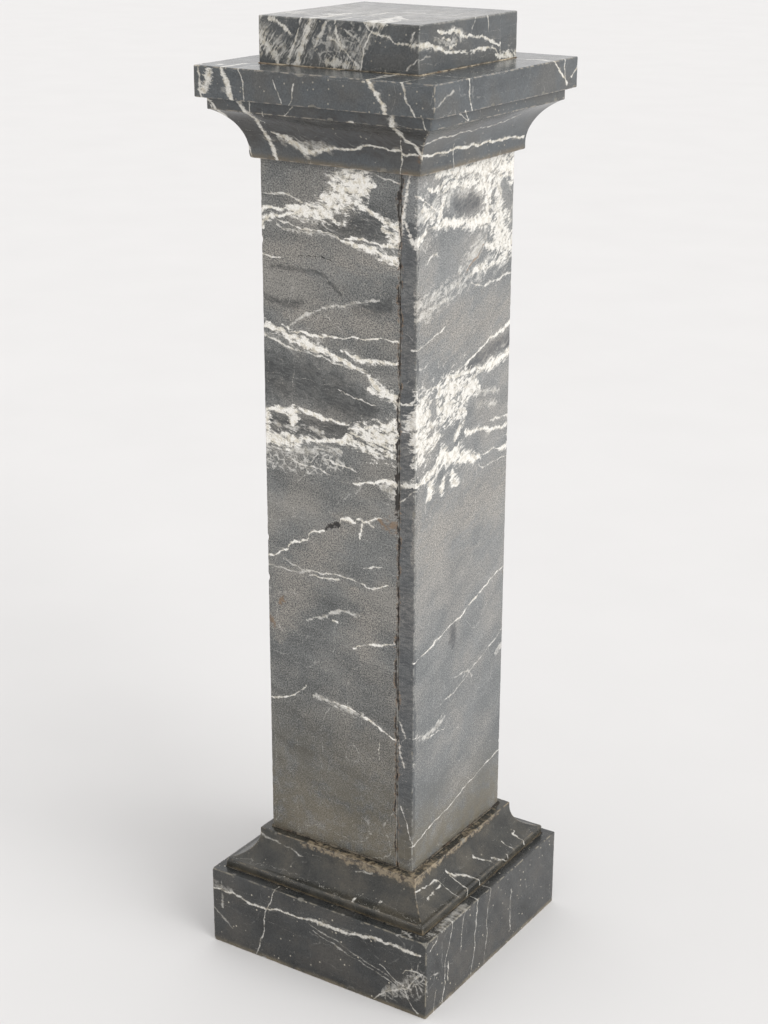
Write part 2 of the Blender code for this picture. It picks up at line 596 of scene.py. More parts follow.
        # Warm dusty weathering on the shaft; on the top block the same cover paints the sheen on its top
        if STAIN in self.nearest:
            dusty = self._cover(STAIN)
            grains = add(MIX, {0: self.grain, 6: linear(finish.between), 7: linear(finish.dust)}, COLOURS, 2)
            colour = add(MIX, {0: dusty, 6: colour, 7: grains}, COLOURS, 2)
        web = add(NOISE, {"Vector": self.drifted, "Scale": 1 / self.HAIRLINES, "Detail": 0.0})
        off = add(MATH, {0: web, 1: 0.5}, SUBTRACT)
        off = add(MATH, {0: off}, ABSOLUTE)
        line = add(RANGE, {
            "Value": off, "From Min": 0.0005, "From Max": 0.0045, "To Min": 1.0, "To Max": 0.0}, SMOOTH)
        there = add(RANGE, {"Value": self.lumps, "From Min": 0.44, "From Max": 0.62}, SMOOTH)
        line = add(MATH, {0: line, 1: there}, MULTIPLY)
        line = add(MATH, {0: line, 1: finish.hairlines}, MULTIPLY)
        colour = add(MIX, {0: line, 6: colour, 7: linear(finish.vein)}, COLOURS, 2)
        cells = add(CELLS, {"Vector": self.place, "Scale": 1 / self.FLECKS}).node
        chance = add("ShaderNodeSeparateXYZ", {0: cells.outputs["Color"]}).node.outputs
        size = add(MATH, {0: chance[1], 1: 0.16, 2: 0.05}, MULTIPLY_ADD)
        small = add(MATH, {0: cells.outputs["Distance"], 1: size}, DIVIDE)
        small = add(RANGE, {
            "Value": small, "From Min": 0.5, "From Max": 1.1, "To Min": finish.flecks, "To Max": 0.0}, SMOOTH)
        some = add(MATH, {0: chance[0], 1: 0.62}, {"operation": "GREATER_THAN"})
        small = add(MATH, {0: small, 1: some}, MULTIPLY)
        return add(MIX, {0: small, 6: colour, 7: linear(finish.warm_vein)}, COLOURS, 2)

    def _veined(self, colour: bpy.types.NodeSocket) -> tuple[bpy.types.NodeSocket, bpy.types.NodeSocket]:
        """Lays the veins over the ground.

        Args:
            colour: the ground's colour.

        Returns:
            The veined colour, and how much of the point is vein.
        """
        add = self.add
        pieces = [self._cover(kind) for kind in (WISP, MASS, BAND, THREAD) if kind in self.nearest]
        if BAND in self.nearest:
            halo = add(RANGE, {
                "Value": self.nearest[BAND], "From Min": 1.0, "From Max": 4.0, "To Min": 1.0,
                "To Max": 0.0}, SMOOTH)
            sparks = add(RANGE, {
                "Value": self.streaks, "From Min": 0.53, "From Max": 0.68, "To Max": 0.5}, SMOOTH)
            pieces.append(add(MATH, {0: halo, 1: sparks}, MULTIPLY))
        if NET in self.nearest:
            cells = add(CELLS, {
                "Vector": self.drifted, "Scale": 1 / self.NET}, {"feature": "DISTANCE_TO_EDGE"})
            fine = add(MATH, {0: self.lumps, 1: -0.4, 2: cells}, MULTIPLY_ADD)
            lines = add(RANGE, {
                "Value": fine, "From Min": -0.2, "From Max": -0.04, "To Min": 1.0, "To Max": 0.0}, SMOOTH)
            pieces.append(add(MATH, {0: lines, 1: self._cover(NET)}, MULTIPLY))
        cover = 0.0
        for piece in pieces:
            cover = add(MATH, {0: piece, 1: cover}, MAXIMUM)
        if HOLE in self.nearest:
            kept = add(MATH, {0: self._cover(HOLE), 1: 1.0}, ADD)
            cover = add(MATH, {0: cover, 1: kept}, MULTIPLY)
        salt = add(MATH, {0: self.grain, 1: 0.2, 2: 0.8}, MULTIPLY_ADD)
        cover = add(MATH, {0: cover, 1: salt}, MULTIPLY)
        tint = add(RANGE, {"Value": self.lumps, "From Min": 0.38, "From Max": 0.56}, SMOOTH)
        white = add(MIX, {
            0: tint, 6: linear(self.finish.warm_vein), 7: linear(self.finish.vein)}, COLOURS, 2)
        colour = add(MIX, {0: cover, 6: colour, 7: white}, COLOURS, 2)
        if RUST in self.nearest:
            earth = add(MIX, {0: tint, 6: linear("43352a"), 7: linear(self.finish.earth)}, COLOURS, 2)
            colour = add(MIX, {0: self._cover(RUST), 6: colour, 7: earth}, COLOURS, 2)
        if PIT in self.nearest:
            hollow = add(MIX, {0: tint, 6: linear("2c231c"), 7: linear("121110")}, COLOURS, 2)
            colour = add(MIX, {0: self._cover(PIT), 6: colour, 7: hollow}, COLOURS, 2)
        return colour, cover

    def _worn(self, colour: bpy.types.NodeSocket) -> bpy.types.NodeSocket:
        """Pales the rubbed arrises and the chips.

        Args:
            colour: the colour so far.

        Returns:
            The worn colour.
        """
        add = self.add
        flat_gap = add("ShaderNodeAttribute", settings={"attribute_name": "arris_gap"}, out="Fac")
        corner_gap = add("ShaderNodeAttribute", settings={"attribute_name": "corner_gap"}, out="Fac")
        gap = add(MATH, {0: flat_gap, 1: corner_gap}, MINIMUM)
        edge = add(RANGE, {
            "Value": gap, "From Min": 0.3, "From Max": 1.9, "To Min": 1.0, "To Max": 0.0}, SMOOTH)
        patchy = add(NOISE, {"Vector": self.place, "Scale": 1 / self.RUBBED, "Detail": 3.0})
        patchy = add(RANGE, {"Value": patchy, "From Min": 0.42, "From Max": 0.62}, SMOOTH)
        edge = add(MATH, {0: edge, 1: patchy}, MULTIPLY)
        edge = add(MATH, {0: edge, 1: 0.6}, MULTIPLY)
        colour = add(MIX, {0: edge, 6: colour, 7: linear(self.finish.rubbed)}, COLOURS, 2)
        self.chip = add("ShaderNodeAttribute", settings={"attribute_name": "chip"}, out="Fac")
        raw = add(RANGE, {"Value": self.chip, "From Min": 0.15, "From Max": 0.7, "To Max": 0.75}, SMOOTH)
        return add(MIX, {0: raw, 6: colour, 7: linear(self.finish.broken)}, COLOURS, 2)

    def _roughness(self, veined: bpy.types.NodeSocket) -> bpy.types.NodeSocket:
        """Varies the polish: smudged in clouds, dull in chips, a little glossier on the veins.

        Args:
            veined: how much of the point is vein.

        Returns:
            The roughness.
        """
        add = self.add
        finish = self.finish
        smudge = add(NOISE, {
            "Vector": self.place, "Scale": 1 / self.SMUDGE, "Detail": 5.0, "Roughness": 0.65})
        base = finish.roughness - finish.roughness_spread / 2
        rough = add(MATH, {0: smudge, 1: finish.roughness_spread, 2: base}, MULTIPLY_ADD)
        rough = add(MATH, {0: veined, 1: -0.05, 2: rough}, MULTIPLY_ADD)
        dull = add(RANGE, {"Value": self.chip, "From Min": 0.1, "From Max": 0.6, "To Max": 0.45}, SMOOTH)
        return add(MATH, {0: rough, 1: dull}, {"operation": "ADD", "use_clamp": True})

    def _relief(self) -> bpy.types.NodeSocket:
        """Raises a fine grain and a slow unevenness of the rubbed face, in the normal alone."""
        add = self.add
        fine = add(NOISE, {
            "Vector": self.place, "Scale": 1 / self.finish.grain_size, "Detail": 3.0, "Roughness": 0.7})
        slow = add(NOISE, {"Vector": self.place, "Scale": 1 / self.UNEVENNESS, "Detail": 1.0})
        raised = add(MATH, {0: slow, 1: 4.0, 2: fine}, MULTIPLY_ADD)
        return add("ShaderNodeBump", {
            "Strength": 1.0, "Distance": self.finish.relief * MM, "Height": raised})


@dataclass(frozen=True)
class Turn:
    """A corner of a stone's upright section: half width and height in mm, and how far its arris is eased."""

    half: float
    height: float
    ease: float = 0.0


@dataclass(frozen=True)
class Break:
    """A piece knocked off a stone: the sharp corner's place, how far in it goes, and how it leans, in mm."""

    corner: tuple[float, float, float]
    size: float
    lean: tuple[float, float, float]


def graded(length: float, fine: float, coarse: float) -> list[float]:
    """Steps along a straight run, fine at both ends and coarser in the middle.

    Args:
        length: the run's length in mm.
        fine: the first step.
        coarse: the longest step.

    Returns:
        The places in between the ends, in mm from the start.
    """
    near = []
    step = fine
    place = fine
    while place < length / 2 - coarse / 2 and step < coarse:
        near.append(place)
        step = min(step * 1.35, coarse)
        place += step
    first = near[-1] if near else 0.0
    middle = max(1, round((length - 2 * first) / coarse))
    inner = [first + (length - 2 * first) * index / middle for index in range(1, middle)]
    return near + inner + [length - value for value in reversed(near)]


class Section:
    """A stone's upright section from the middle of its bed, out, up and in again, with its arrises eased."""

    def __init__(self, turns: list[Turn], fine: float, coarse: float):
        """Works out the section's points.

        Args:
            turns: its corners in order.
            fine: shortest step along a straight run, in mm.
            coarse: longest step.
        """
        corners = [Vector((turn.half, turn.height)) for turn in turns]
        eased = []
        self.arrises = []
        for index, turn in enumerate(turns):
            here = corners[index]
            if turn.ease <= 0.0:
                eased.append([here])
                continue
            inbound = (here - corners[index - 1]).normalized()
            outbound = (corners[index + 1] - here).normalized()
            self.arrises.append((here, (outbound - inbound).normalized()))
            eased.append(self._arc(here, inbound, outbound, turn.ease))
        self.points = []
        for before, after in zip(eased, eased[1:]):
            self.points.extend(before)
            run = after[0] - before[-1]
            for place in graded(run.length, fine, coarse):
                self.points.append(before[-1] + run.normalized() * place)
        self.points.extend(eased[-1])

    @staticmethod
    def _arc(corner: Vector, inbound: Vector, outbound: Vector, ease: float) -> list[Vector]:
        """Rounds one corner off.

        Args:
            corner: the sharp corner.
            inbound: direction into it.
            outbound: direction out of it.
            ease: length taken off each side in mm.

        Returns:
            Points along the rounding.
        """
        steps = 4
        points = []
        for step in range(steps + 1):
            share = step / steps
            from_start = corner - inbound * ease * (1 - share) ** 2
            points.append(from_start + outbound * ease * share ** 2)
        return points

    def rim(self, height: float) -> float:
        """The widest half width at a height."""
        return max(point.x for point in self.points if abs(point.y - height) < 0.01)

    def nearest_arris(self, point: Vector) -> tuple[float, Vector]:
        """Distance in mm to the nearest arris, and the way into the stone there."""
        gaps = [((point - place).length, inward) for place, inward in self.arrises]
        return min(gaps, key=lambda pair: pair[0])


@dataclass
class Stone:
    """A stone that is square or oblong on plan, lofted through its upright section."""

    node: str
    finish: MarbleFinish
    veins: tuple[Vein, ...]
    corner_ease: float = 1.2
    column_step: float = 2.2
    fine: float = 0.45
    coarse: float = 4.0
    overlap: float = 3.0
    rub: float = 0.35
    chip_size: float = 4.0
    chip_depth: float = 1.3
    chip_share: float = 0.35
    seed: float = 1.0
    dip: tuple[float, float] = (0.0, 0.0)
    breaks: tuple[Break, ...] = ()

    def __post_init__(self) -> None:
        """Takes the stone's place and size from the model."""
        low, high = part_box(self.node)
        self.low = Vector(low) / MM
        self.high = Vector(high) / MM
        self.middle = (self.low + self.high) / 2
        self.half_x = (self.high.x - self.low.x) / 2
        self.half_y = (self.high.y - self.low.y) / 2

    def turns(self) -> list[Turn]:
        """The corners of a plain block's section."""
        reach = self.half_x
        inner = reach - BED
        return [Turn(inner, self.low.z), Turn(reach, self.low.z, 1.0), Turn(reach, self.high.z, 1.0),
                Turn(inner, self.high.z)]

    def columns(self, half: float, side: int) -> list[float]:
        """Places across one side, from -1 to 1, without its ends.

        Args:
            half: the side's half width in mm.
            side: 0 for right, 1 for back, 2 for left, 3 for front; not used by a plain stone.

        Returns:
            The places.
        """
        count = max(2, round(2 * half / self.column_step))
        return [2 * index / count - 1 for index in range(1, count)]

    def outline(self) -> np.ndarray:
        """The plan outline, counter-clockwise, as rows of where each point sits.

        Returns:
            Rows of (share of half_x, share of half_y, rounding x, rounding y, corner x, corner y).
        """
        rows = []
        arc_steps = 4
        for side, (corner_x, corner_y) in enumerate(PLAN_CORNERS):
            begin = math.radians(-90 + 90 * side)
            for step in range(arc_steps + 1):
                angle = begin + math.radians(90) * step / arc_steps
                rows.append((corner_x, corner_y, math.cos(angle), math.sin(angle), corner_x, corner_y))
            out_x, out_y = ((1, 0), (0, 1), (-1, 0), (0, -1))[side]
            along_x, along_y = -out_y, out_x
            half = self.half_y if side in (0, 2) else self.half_x
            for place in self.columns(half, side):
                across_x = out_x + along_x * place
                across_y = out_y + along_y * place
                near_x = corner_x if place < 0 else PLAN_CORNERS[(side + 1) % 4][0]
                near_y = corner_y if place < 0 else PLAN_CORNERS[(side + 1) % 4][1]
                rows.append((across_x, across_y, out_x, out_y, near_x, near_y))
        return np.array(rows)

    def mesh(self) -> bpy.types.Object:
        """Lofts the stone.

        Returns:
            An object with the stone's mesh, and the attributes that the wear is worked out from.
        """
        section = Section(self.turns(), self.fine, self.coarse)
        plan = self.outline()
        reach = max(point.x for point in section.points)
        ease = self.corner_ease
        rings = []
        flat_gap = []
        flat_in = []
        corner_gap = []
        for point in section.points:
            inset = reach - point.x
            rim = reach - section.rim(point.y)
            x = plan[:, 0] * (self.half_x - inset - ease) + plan[:, 2] * ease
            y = plan[:, 1] * (self.half_y - inset - ease) + plan[:, 3] * ease
            rings.append(np.column_stack([x, y, np.full(len(plan), point.y)]))
            gap, inward = section.nearest_arris(point)
            flat_gap.append(np.full(len(plan), gap))
            flat_in.append(np.column_stack([plan[:, 2] * inward.x, plan[:, 3] * inward.x,
                                            np.full(len(plan), inward.y)]))
            corner_gap.append(np.hypot(self.half_x - rim - np.abs(x), self.half_y - rim - np.abs(y)))
        places = np.concatenate(rings)
        places[:, 0] += self.middle.x
        places[:, 1] += self.middle.y
        ring_in = np.column_stack([-plan[:, 4], -plan[:, 5], np.zeros(len(plan))]) / math.sqrt(2)
        corner_in = np.tile(ring_in, (len(rings), 1))
        places, broken = self._knock_off(places)
        faces = self._faces(len(rings), len(plan))
        body = bpy.data.meshes.new(self.node + "_stone")
        body.from_pydata((places * MM).tolist(), [], faces)
        for name, kind, values in (("arris_gap", "FLOAT", np.concatenate(flat_gap)),
                                   ("corner_gap", "FLOAT", np.concatenate(corner_gap)),
                                   ("broken", "FLOAT", broken),
                                   ("arris_in", "FLOAT_VECTOR", np.concatenate(flat_in)),
                                   ("corner_in", "FLOAT_VECTOR", corner_in)):
            attribute = body.attributes.new(name, kind, "POINT")
            field_name = "vector" if kind == "FLOAT_VECTOR" else "value"
            attribute.data.foreach_set(field_name, np.asarray(values, dtype=np.float32).ravel())
        return new_object(self.node + "_stone", body)

    @staticmethod
    def _faces(ring_count: int, width: int) -> list[tuple[int, ...]]:
        """Joins rings of points with quads and closes both ends.

        Args:
            ring_count: how many rings.
            width: points in a ring.

        Returns:
            Faces that look outwards.
        """
        faces = [tuple(reversed(range(width)))]
        for ring in range(ring_count - 1):
            low = ring * width
            for index in range(width):
                after = (index + 1) % width
                faces.append((low + index, low + after, low + width + after, low + width + index))
        faces.append(tuple(range((ring_count - 1) * width, ring_count * width)))
        return faces

    def _knock_off(self, places: np.ndarray) -> tuple[np.ndarray, np.ndarray]:
        """Breaks the named corners off along rough slanting faces.

        Args:
            places: the points in mm.

        Returns:
            The moved points, and how deep each was cut, in mm.
        """
        broken = np.zeros(len(places))
        for item in self.breaks:
            corner = np.array(item.corner)
            outward = np.array(item.lean) * np.array([np.sign(corner[0]), np.sign(corner[1]), 1.0])
            outward = outward / np.linalg.norm(outward)
            rough = 0.35 * np.sin(places @ np.array([1.9, 1.3, 2.3]))
            rough = rough + 0.25 * np.sin(places @ np.array([-3.1, 2.7, 1.7]))
            over = (places - corner) @ outward + item.size * 0.5 + rough
            near = np.linalg.norm(places - corner, axis=1) < item.size * 3
            cut = np.where(near, np.maximum(over, 0.0), 0.0)
            places = places - cut[:, None] * outward
            broken = np.maximum(broken, cut)
        return places, broken

    def build(self, wear: "WearTree") -> bpy.types.Object:
        """Makes, wears, dresses and places the stone.

        Args:
            wear: the tree that rubs and chips arrises.

        Returns:
            The finished piece.
        """
        name = self.node + " marble"
        marble = MarbleMaterial(name, self.finish, self.veins, self.low, self.high, self.overlap, self.dip)
        material = marble.build()
        piece = wear.apply(self, self.mesh(), material)
        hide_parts(self.node)
        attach(piece, "root")
        LOG.info("%s: %d faces, %d veins", piece.name, len(piece.data.polygons), len(self.veins))
        return piece


@dataclass
class Slab(Stone):
    """An upright slab of the shaft, dense only where its arrises show."""

    corner_ease: float = 0.8
    fine: float = 0.5
    coarse: float = 2.0
    shown: tuple[int, ...] = (0, 1, 2, 3)

    def turns(self) -> list[Turn]:
        """The corners of a slab's section."""
        reach = self.half_x
        inner = reach - min(self.half_x, self.half_y) + 3.0
        return [Turn(inner, self.low.z), Turn(reach, self.low.z, 0.8), Turn(reach, self.high.z, 0.8),
                Turn(inner, self.high.z)]

    def columns(self, half: float, side: int) -> list[float]:
        """Fine columns by the arrises of the sides that show, and a few on those that don't."""
        fine, coarse = (0.6, 9.0) if side in self.shown else (6.0, 40.0)
        return [place / half - 1 for place in graded(2 * half, fine, coarse)]


@dataclass
class BaseMoulding(Stone):
    """The stone between plinth and shaft: a low foot with a rounded shoulder, a cove and an upright band."""

    foot_height: float = 11.5
    shoulder: float = 3.0
    ledge: float = 1.5
    cove_height: float = 31.0
    seat_half: float = 108.5
    cove_steps: int = 22

    def turns(self) -> list[Turn]:
        """The corners of the moulding's section."""
        foot = self.half_x
        shoulder_z = self.low.z + self.foot_height
        neck_z = shoulder_z + self.cove_height
        lip = foot - self.shoulder - self.ledge
        hollow = cove_points(self.seat_half, neck_z, lip, shoulder_z, self.cove_steps)
        points = [Turn(foot - BED, self.low.z), Turn(foot, self.low.z, 0.8)]
        points += [Turn(foot, shoulder_z, self.shoulder)]
        points += [Turn(half, height) for half, height in reversed(hollow)]
        points += [Turn(self.seat_half, self.high.z, 1.0), Turn(self.seat_half - 22.0, self.high.z)]
        return points


@dataclass
class Cap(Stone):
    """The cap, carved in one: a foot band, a cove that spreads to a fillet, and the abacus."""

    foot_half: float = 106.0
    foot_band: float = 6.0
    cove_height: float = 45.0
    fillet_half: float = 136.0
    fillet_height: float = 12.5
    shoulder: float = 1.5
    cove_steps: int = 26

    def turns(self) -> list[Turn]:
        """The corners of the cap's section."""
        neck_z = self.low.z + self.foot_band
        fillet_z = neck_z + self.cove_height
        abacus_z = fillet_z + self.fillet_height
        lip = self.fillet_half - self.shoulder
        hollow = cove_points(self.foot_half, neck_z, lip, fillet_z, self.cove_steps)
        points = [Turn(self.foot_half - 22.0, self.low.z), Turn(self.foot_half, self.low.z, 1.0)]
        points += [Turn(half, height) for half, height in hollow]
        points += [Turn(self.fillet_half, fillet_z, 0.7), Turn(self.fillet_half, abacus_z)]
        points += [Turn(self.half_x, abacus_z, 1.2), Turn(self.half_x, self.high.z, 1.2)]
        points += [Turn(self.half_x - 30.0, self.high.z)]
        return points


def cove_points(neck_half: float, neck_z: float, lip_half: float, lip_z: float, steps: int) -> list[tuple]:
    """Points of a hollow round that starts upright at its neck and ends at its lip.

    Args:
        neck_half: half width at the neck.
        neck_z: height of the neck.
        lip_half: half width at the lip.
        lip_z: height of the lip.
        steps: number of steps.

    Returns:
        (half width, height) pairs from the neck to the lip, in mm.
    """
    run = lip_half - neck_half
    rise = abs(lip_z - neck_z)
    way = math.copysign(1.0, lip_z - neck_z)
    radius = (run * run + rise * rise) / (2 * run)
    sweep = 2 * math.atan2(run, rise)
    points = []
    for step in range(steps + 1):
        angle = sweep * step / steps
        points.append((neck_half + radius * (1 - math.cos(angle)), neck_z + way * radius * math.sin(angle)))
    return points


class WearTree:
    """Rubs and chips the arrises of a stone by Geometry Nodes."""

    INPUTS = (("Rub", "rub"), ("Chip Size", "chip_size"), ("Chip Depth", "chip_depth"),
              ("Chip Share", "chip_share"), ("Seed", "seed"))

    def __init__(self) -> None:
        """Builds the tree: rubbing and scallops, measured from each arris, move the points into the stone."""
        tree = bpy.data.node_groups.new("worn arrises", "GeometryNodeTree")
        self.tree = tree
        tree.interface.new_socket("Geometry", in_out="INPUT", socket_type="NodeSocketGeometry")
        for label, _ in self.INPUTS:
            tree.interface.new_socket(label, in_out="INPUT", socket_type="NodeSocketFloat")
        tree.interface.new_socket("Marble", in_out="INPUT", socket_type="NodeSocketMaterial")
        tree.interface.new_socket("Geometry", in_out="OUTPUT", socket_type="NodeSocketGeometry")
        self.given = tree.nodes.new("NodeGroupInput").outputs
        add = self.add = partial(add_node, tree)
        spot = add("GeometryNodeInputPosition")
        offset = add("ShaderNodeCombineXYZ", {0: self.given["Seed"]})
        place = add(VECTOR, {0: spot, "Scale": 1.0 / MM}, SCALE)
        place = add(VECTOR, {0: offset, 1: (37.0, 0.0, 0.0), 2: place}, MULTIPLY_ADD)
        flat_depth, flat_push = self._cut(place, "arris_gap", "arris_in")
        other = add(VECTOR, {0: place, 1: (91.0, 47.0, 13.0)}, ADD)
        corner_depth, corner_push = self._cut(other, "corner_gap", "corner_in")
        push = add(VECTOR, {0: flat_push, 1: corner_push}, ADD)
        push = add(VECTOR, {0: push, "Scale": MM}, SCALE)
        broken = add("GeometryNodeInputNamedAttribute", {"Name": "broken"}, {"data_type": "FLOAT"})
        chip = add(MATH, {0: flat_depth, 1: corner_depth}, MAXIMUM)
        chip = add(MATH, {0: chip, 1: broken}, MAXIMUM)
        kept = add("GeometryNodeStoreNamedAttribute", {
            "Geometry": self.given["Geometry"], "Name": "chip", "Value": chip}, {
            "data_type": "FLOAT", "domain": "POINT"})
        moved = add("GeometryNodeSetPosition", {"Geometry": kept, "Offset": push})
        whole = add("GeometryNodeRealizeInstances", {"Geometry": moved})
        dressed = add("GeometryNodeSetMaterial", {
            "Geometry": whole, "Material": self.given["Marble"]})
        add("NodeGroupOutput", {"Geometry": dressed})

    def _cut(self, place, gap_name: str, inward_name: str) -> tuple:
        """Adds the wear along one family of arrises.

        Args:
            place: the point in mm, shifted by the seed.
            gap_name: attribute with the distance to the arris in mm.
            inward_name: attribute with the way into the stone there.

        Returns:
            How deep the chips go, and the whole push in mm.
        """
        add = self.add
        gap = add("GeometryNodeInputNamedAttribute", {"Name": gap_name}, {"data_type": "FLOAT"})
        inward = add("GeometryNodeInputNamedAttribute", {
            "Name": inward_name}, {"data_type": "FLOAT_VECTOR"})
        rubbed = add(NOISE, {"Vector": place, "Scale": 1 / 9, "Detail": 4.0, "Roughness": 0.7})
        rubbed = add(RANGE, {"Value": rubbed, "From Min": 0.38, "From Max": 0.68})
        rubbed = add(MATH, {0: rubbed, 1: self.given["Rub"]}, MULTIPLY)
        close = add(RANGE, {
            "Value": gap, "From Min": 0.3, "From Max": 2.4, "To Min": 1.0, "To Max": 0.0}, SMOOTH)
        rubbed = add(MATH, {0: rubbed, 1: close}, MULTIPLY)
        pitch = add(MATH, {0: self.given["Chip Size"], 1: 3.2}, MULTIPLY)
        inverse = add(MATH, {0: 1.0, 1: pitch}, DIVIDE)
        cells = add(CELLS, {"Vector": place, "Scale": inverse}).node
        away = add(MATH, {0: cells.outputs["Distance"], 1: pitch}, MULTIPLY)
        chance = add("ShaderNodeSeparateXYZ", {0: cells.outputs["Color"]}).node.outputs
        picked = add(MATH, {0: chance[0], 1: self.given["Chip Share"]}, {"operation": "LESS_THAN"})
        reach = add(MATH, {0: chance[1], 1: 0.9, 2: 0.35}, MULTIPLY_ADD)
        reach = add(MATH, {0: reach, 1: self.given["Chip Size"]}, MULTIPLY)
        ragged = add(NOISE, {"Vector": place, "Scale": 1 / 2.4, "Detail": 2.0})
        away = add(MATH, {0: ragged, 1: 2.0, 2: away}, MULTIPLY_ADD)
        near = add(MATH, {0: reach, 1: away}, SUBTRACT)
        near = add(MATH, {0: near, 1: 1.0}, ADD)
        near = add(RANGE, {"Value": near, "From Min": 0.0, "From Max": 2.2})
        fade = add(RANGE, {
            "Value": gap, "From Min": 0.8, "From Max": reach, "To Min": 1.0, "To Max": 0.0}, SMOOTH)
        chip = add(MATH, {0: near, 1: picked}, MULTIPLY)
        chip = add(MATH, {0: chip, 1: fade}, MULTIPLY)
        chip = add(MATH, {0: chip, 1: self.given["Chip Depth"]}, MULTIPLY)
        depth = add(MATH, {0: chip, 1: rubbed}, ADD)
        return chip, add(VECTOR, {0: inward, "Scale": depth}, SCALE)

    def apply(self, stone: Stone, obj: bpy.types.Object, material: bpy.types.Material) -> bpy.types.Object:
        """Wears a stone and returns it as a plain mesh.

        Args:
            stone: where the sizes of the wear come from.
            obj: the lofted stone.
            material: its marble.

        Returns:
            The worn piece.
        """
        values = {label: float(getattr(stone, name)) for label, name in self.INPUTS}
        return made_by(self.tree, obj, {**values, "Marble": material})


def made_by(tree: bpy.types.NodeTree, obj: bpy.types.Object, values: dict) -> bpy.types.Object:
    """Turns an object into the plain mesh that a Geometry Nodes tree makes of it.

    Args:
        tree: the tree.
        obj: the object.
        values: the tree's inputs by name.

    Returns:
        The same object.
    """
    modifier = obj.modifiers.new(tree.name, "NODES")
    modifier.node_group = tree
    sockets = {item.name: item.identifier for item in tree.interface.items_tree if item.in_out == "INPUT"}
    for label, value in values.items():
        modifier[sockets[label]] = value
    graph = bpy.context.evaluated_depsgraph_get()
    worked = obj.evaluated_get(graph)
    mesh = bpy.data.meshes.new_from_object(worked, preserve_all_data_layers=True, depsgraph=graph)
    obj.modifiers.clear()
    obj.data = mesh
    mesh.shade_smooth()
    mesh.set_sharp_from_angle(angle=SHARP_ANGLE)
    return obj


@dataclass(frozen=True)
class MortarFinish:
    """The colours of a joint's filling, from dry to stained."""

    pale: str
    deep: str
    rust: str
    rust_share: float = 0.3


class MortarTree:
    """Lays an uneven bead along a square joint by Geometry Nodes."""

    INPUTS = ("Half", "Height", "Thickness", "Unevenness", "Seed")
    STEP = 0.0018
    LUMPS = 0.0011

    def __init__(self) -> None:
        """Builds the tree: a square path, resampled, with a radius that comes and goes."""
        tree = bpy.data.node_groups.new("joint bead", "GeometryNodeTree")
        self.tree = tree
        for label in self.INPUTS:
            tree.interface.new_socket(label, in_out="INPUT", socket_type="NodeSocketFloat")
        tree.interface.new_socket("Mortar", in_out="INPUT", socket_type="NodeSocketMaterial")
        tree.interface.new_socket("Geometry", in_out="OUTPUT", socket_type="NodeSocketGeometry")
        given = tree.nodes.new("NodeGroupInput").outputs
        add = partial(add_node, tree)
        width = add(MATH, {0: given["Half"], 1: 2.0}, MULTIPLY)
        square = add("GeometryNodeCurvePrimitiveQuadrilateral", {"Width": width, "Height": width})
        lift = add("ShaderNodeCombineXYZ", {2: given["Height"]})
        path = add("GeometryNodeTransform", {"Geometry": square, "Translation": lift})
        path = add("GeometryNodeResampleCurve", {"Curve": path, "Length": self.STEP}, {"mode": "LENGTH"})
        spot = add("GeometryNodeInputPosition")
        seeded = add("ShaderNodeCombineXYZ", {0: given["Seed"]})
        place = add(VECTOR, {0: spot, 1: (1000.0, 1000.0, 1000.0), 2: seeded}, MULTIPLY_ADD)
        swell = add(NOISE, {"Vector": place, "Scale": 1 / 11, "Detail": 5.0, "Roughness": 0.75})
        swell = add(RANGE, {"Value": swell, "From Min": 0.32, "From Max": 0.68})
        least = add(MATH, {0: 1.0, 1: given["Unevenness"]}, SUBTRACT)
        radius = add(MATH, {0: swell, 1: given["Unevenness"], 2: least}, MULTIPLY_ADD)
        radius = add(MATH, {0: radius, 1: given["Thickness"]}, MULTIPLY)
        ring = add("GeometryNodeCurvePrimitiveCircle", {"Resolution": 8, "Radius": 1.0})
        bead = add("GeometryNodeCurveToMesh", {
            "Curve": path, "Profile Curve": ring, "Fill Caps": False, "Scale": radius})
        lumps = add(NOISE, {"Vector": place, "Scale": 1 / 1.6, "Detail": 2.0}, out="Color")
        lumps = add(VECTOR, {0: lumps, 1: (0.5, 0.5, 0.5)}, SUBTRACT)
        lumps = add(VECTOR, {0: lumps, "Scale": self.LUMPS}, SCALE)
        bead = add("GeometryNodeSetPosition", {"Geometry": bead, "Offset": lumps})
        whole = add("GeometryNodeRealizeInstances", {"Geometry": bead})
        dressed = add("GeometryNodeSetMaterial", {"Geometry": whole, "Material": given["Mortar"]})
        add("NodeGroupOutput", {"Geometry": dressed})


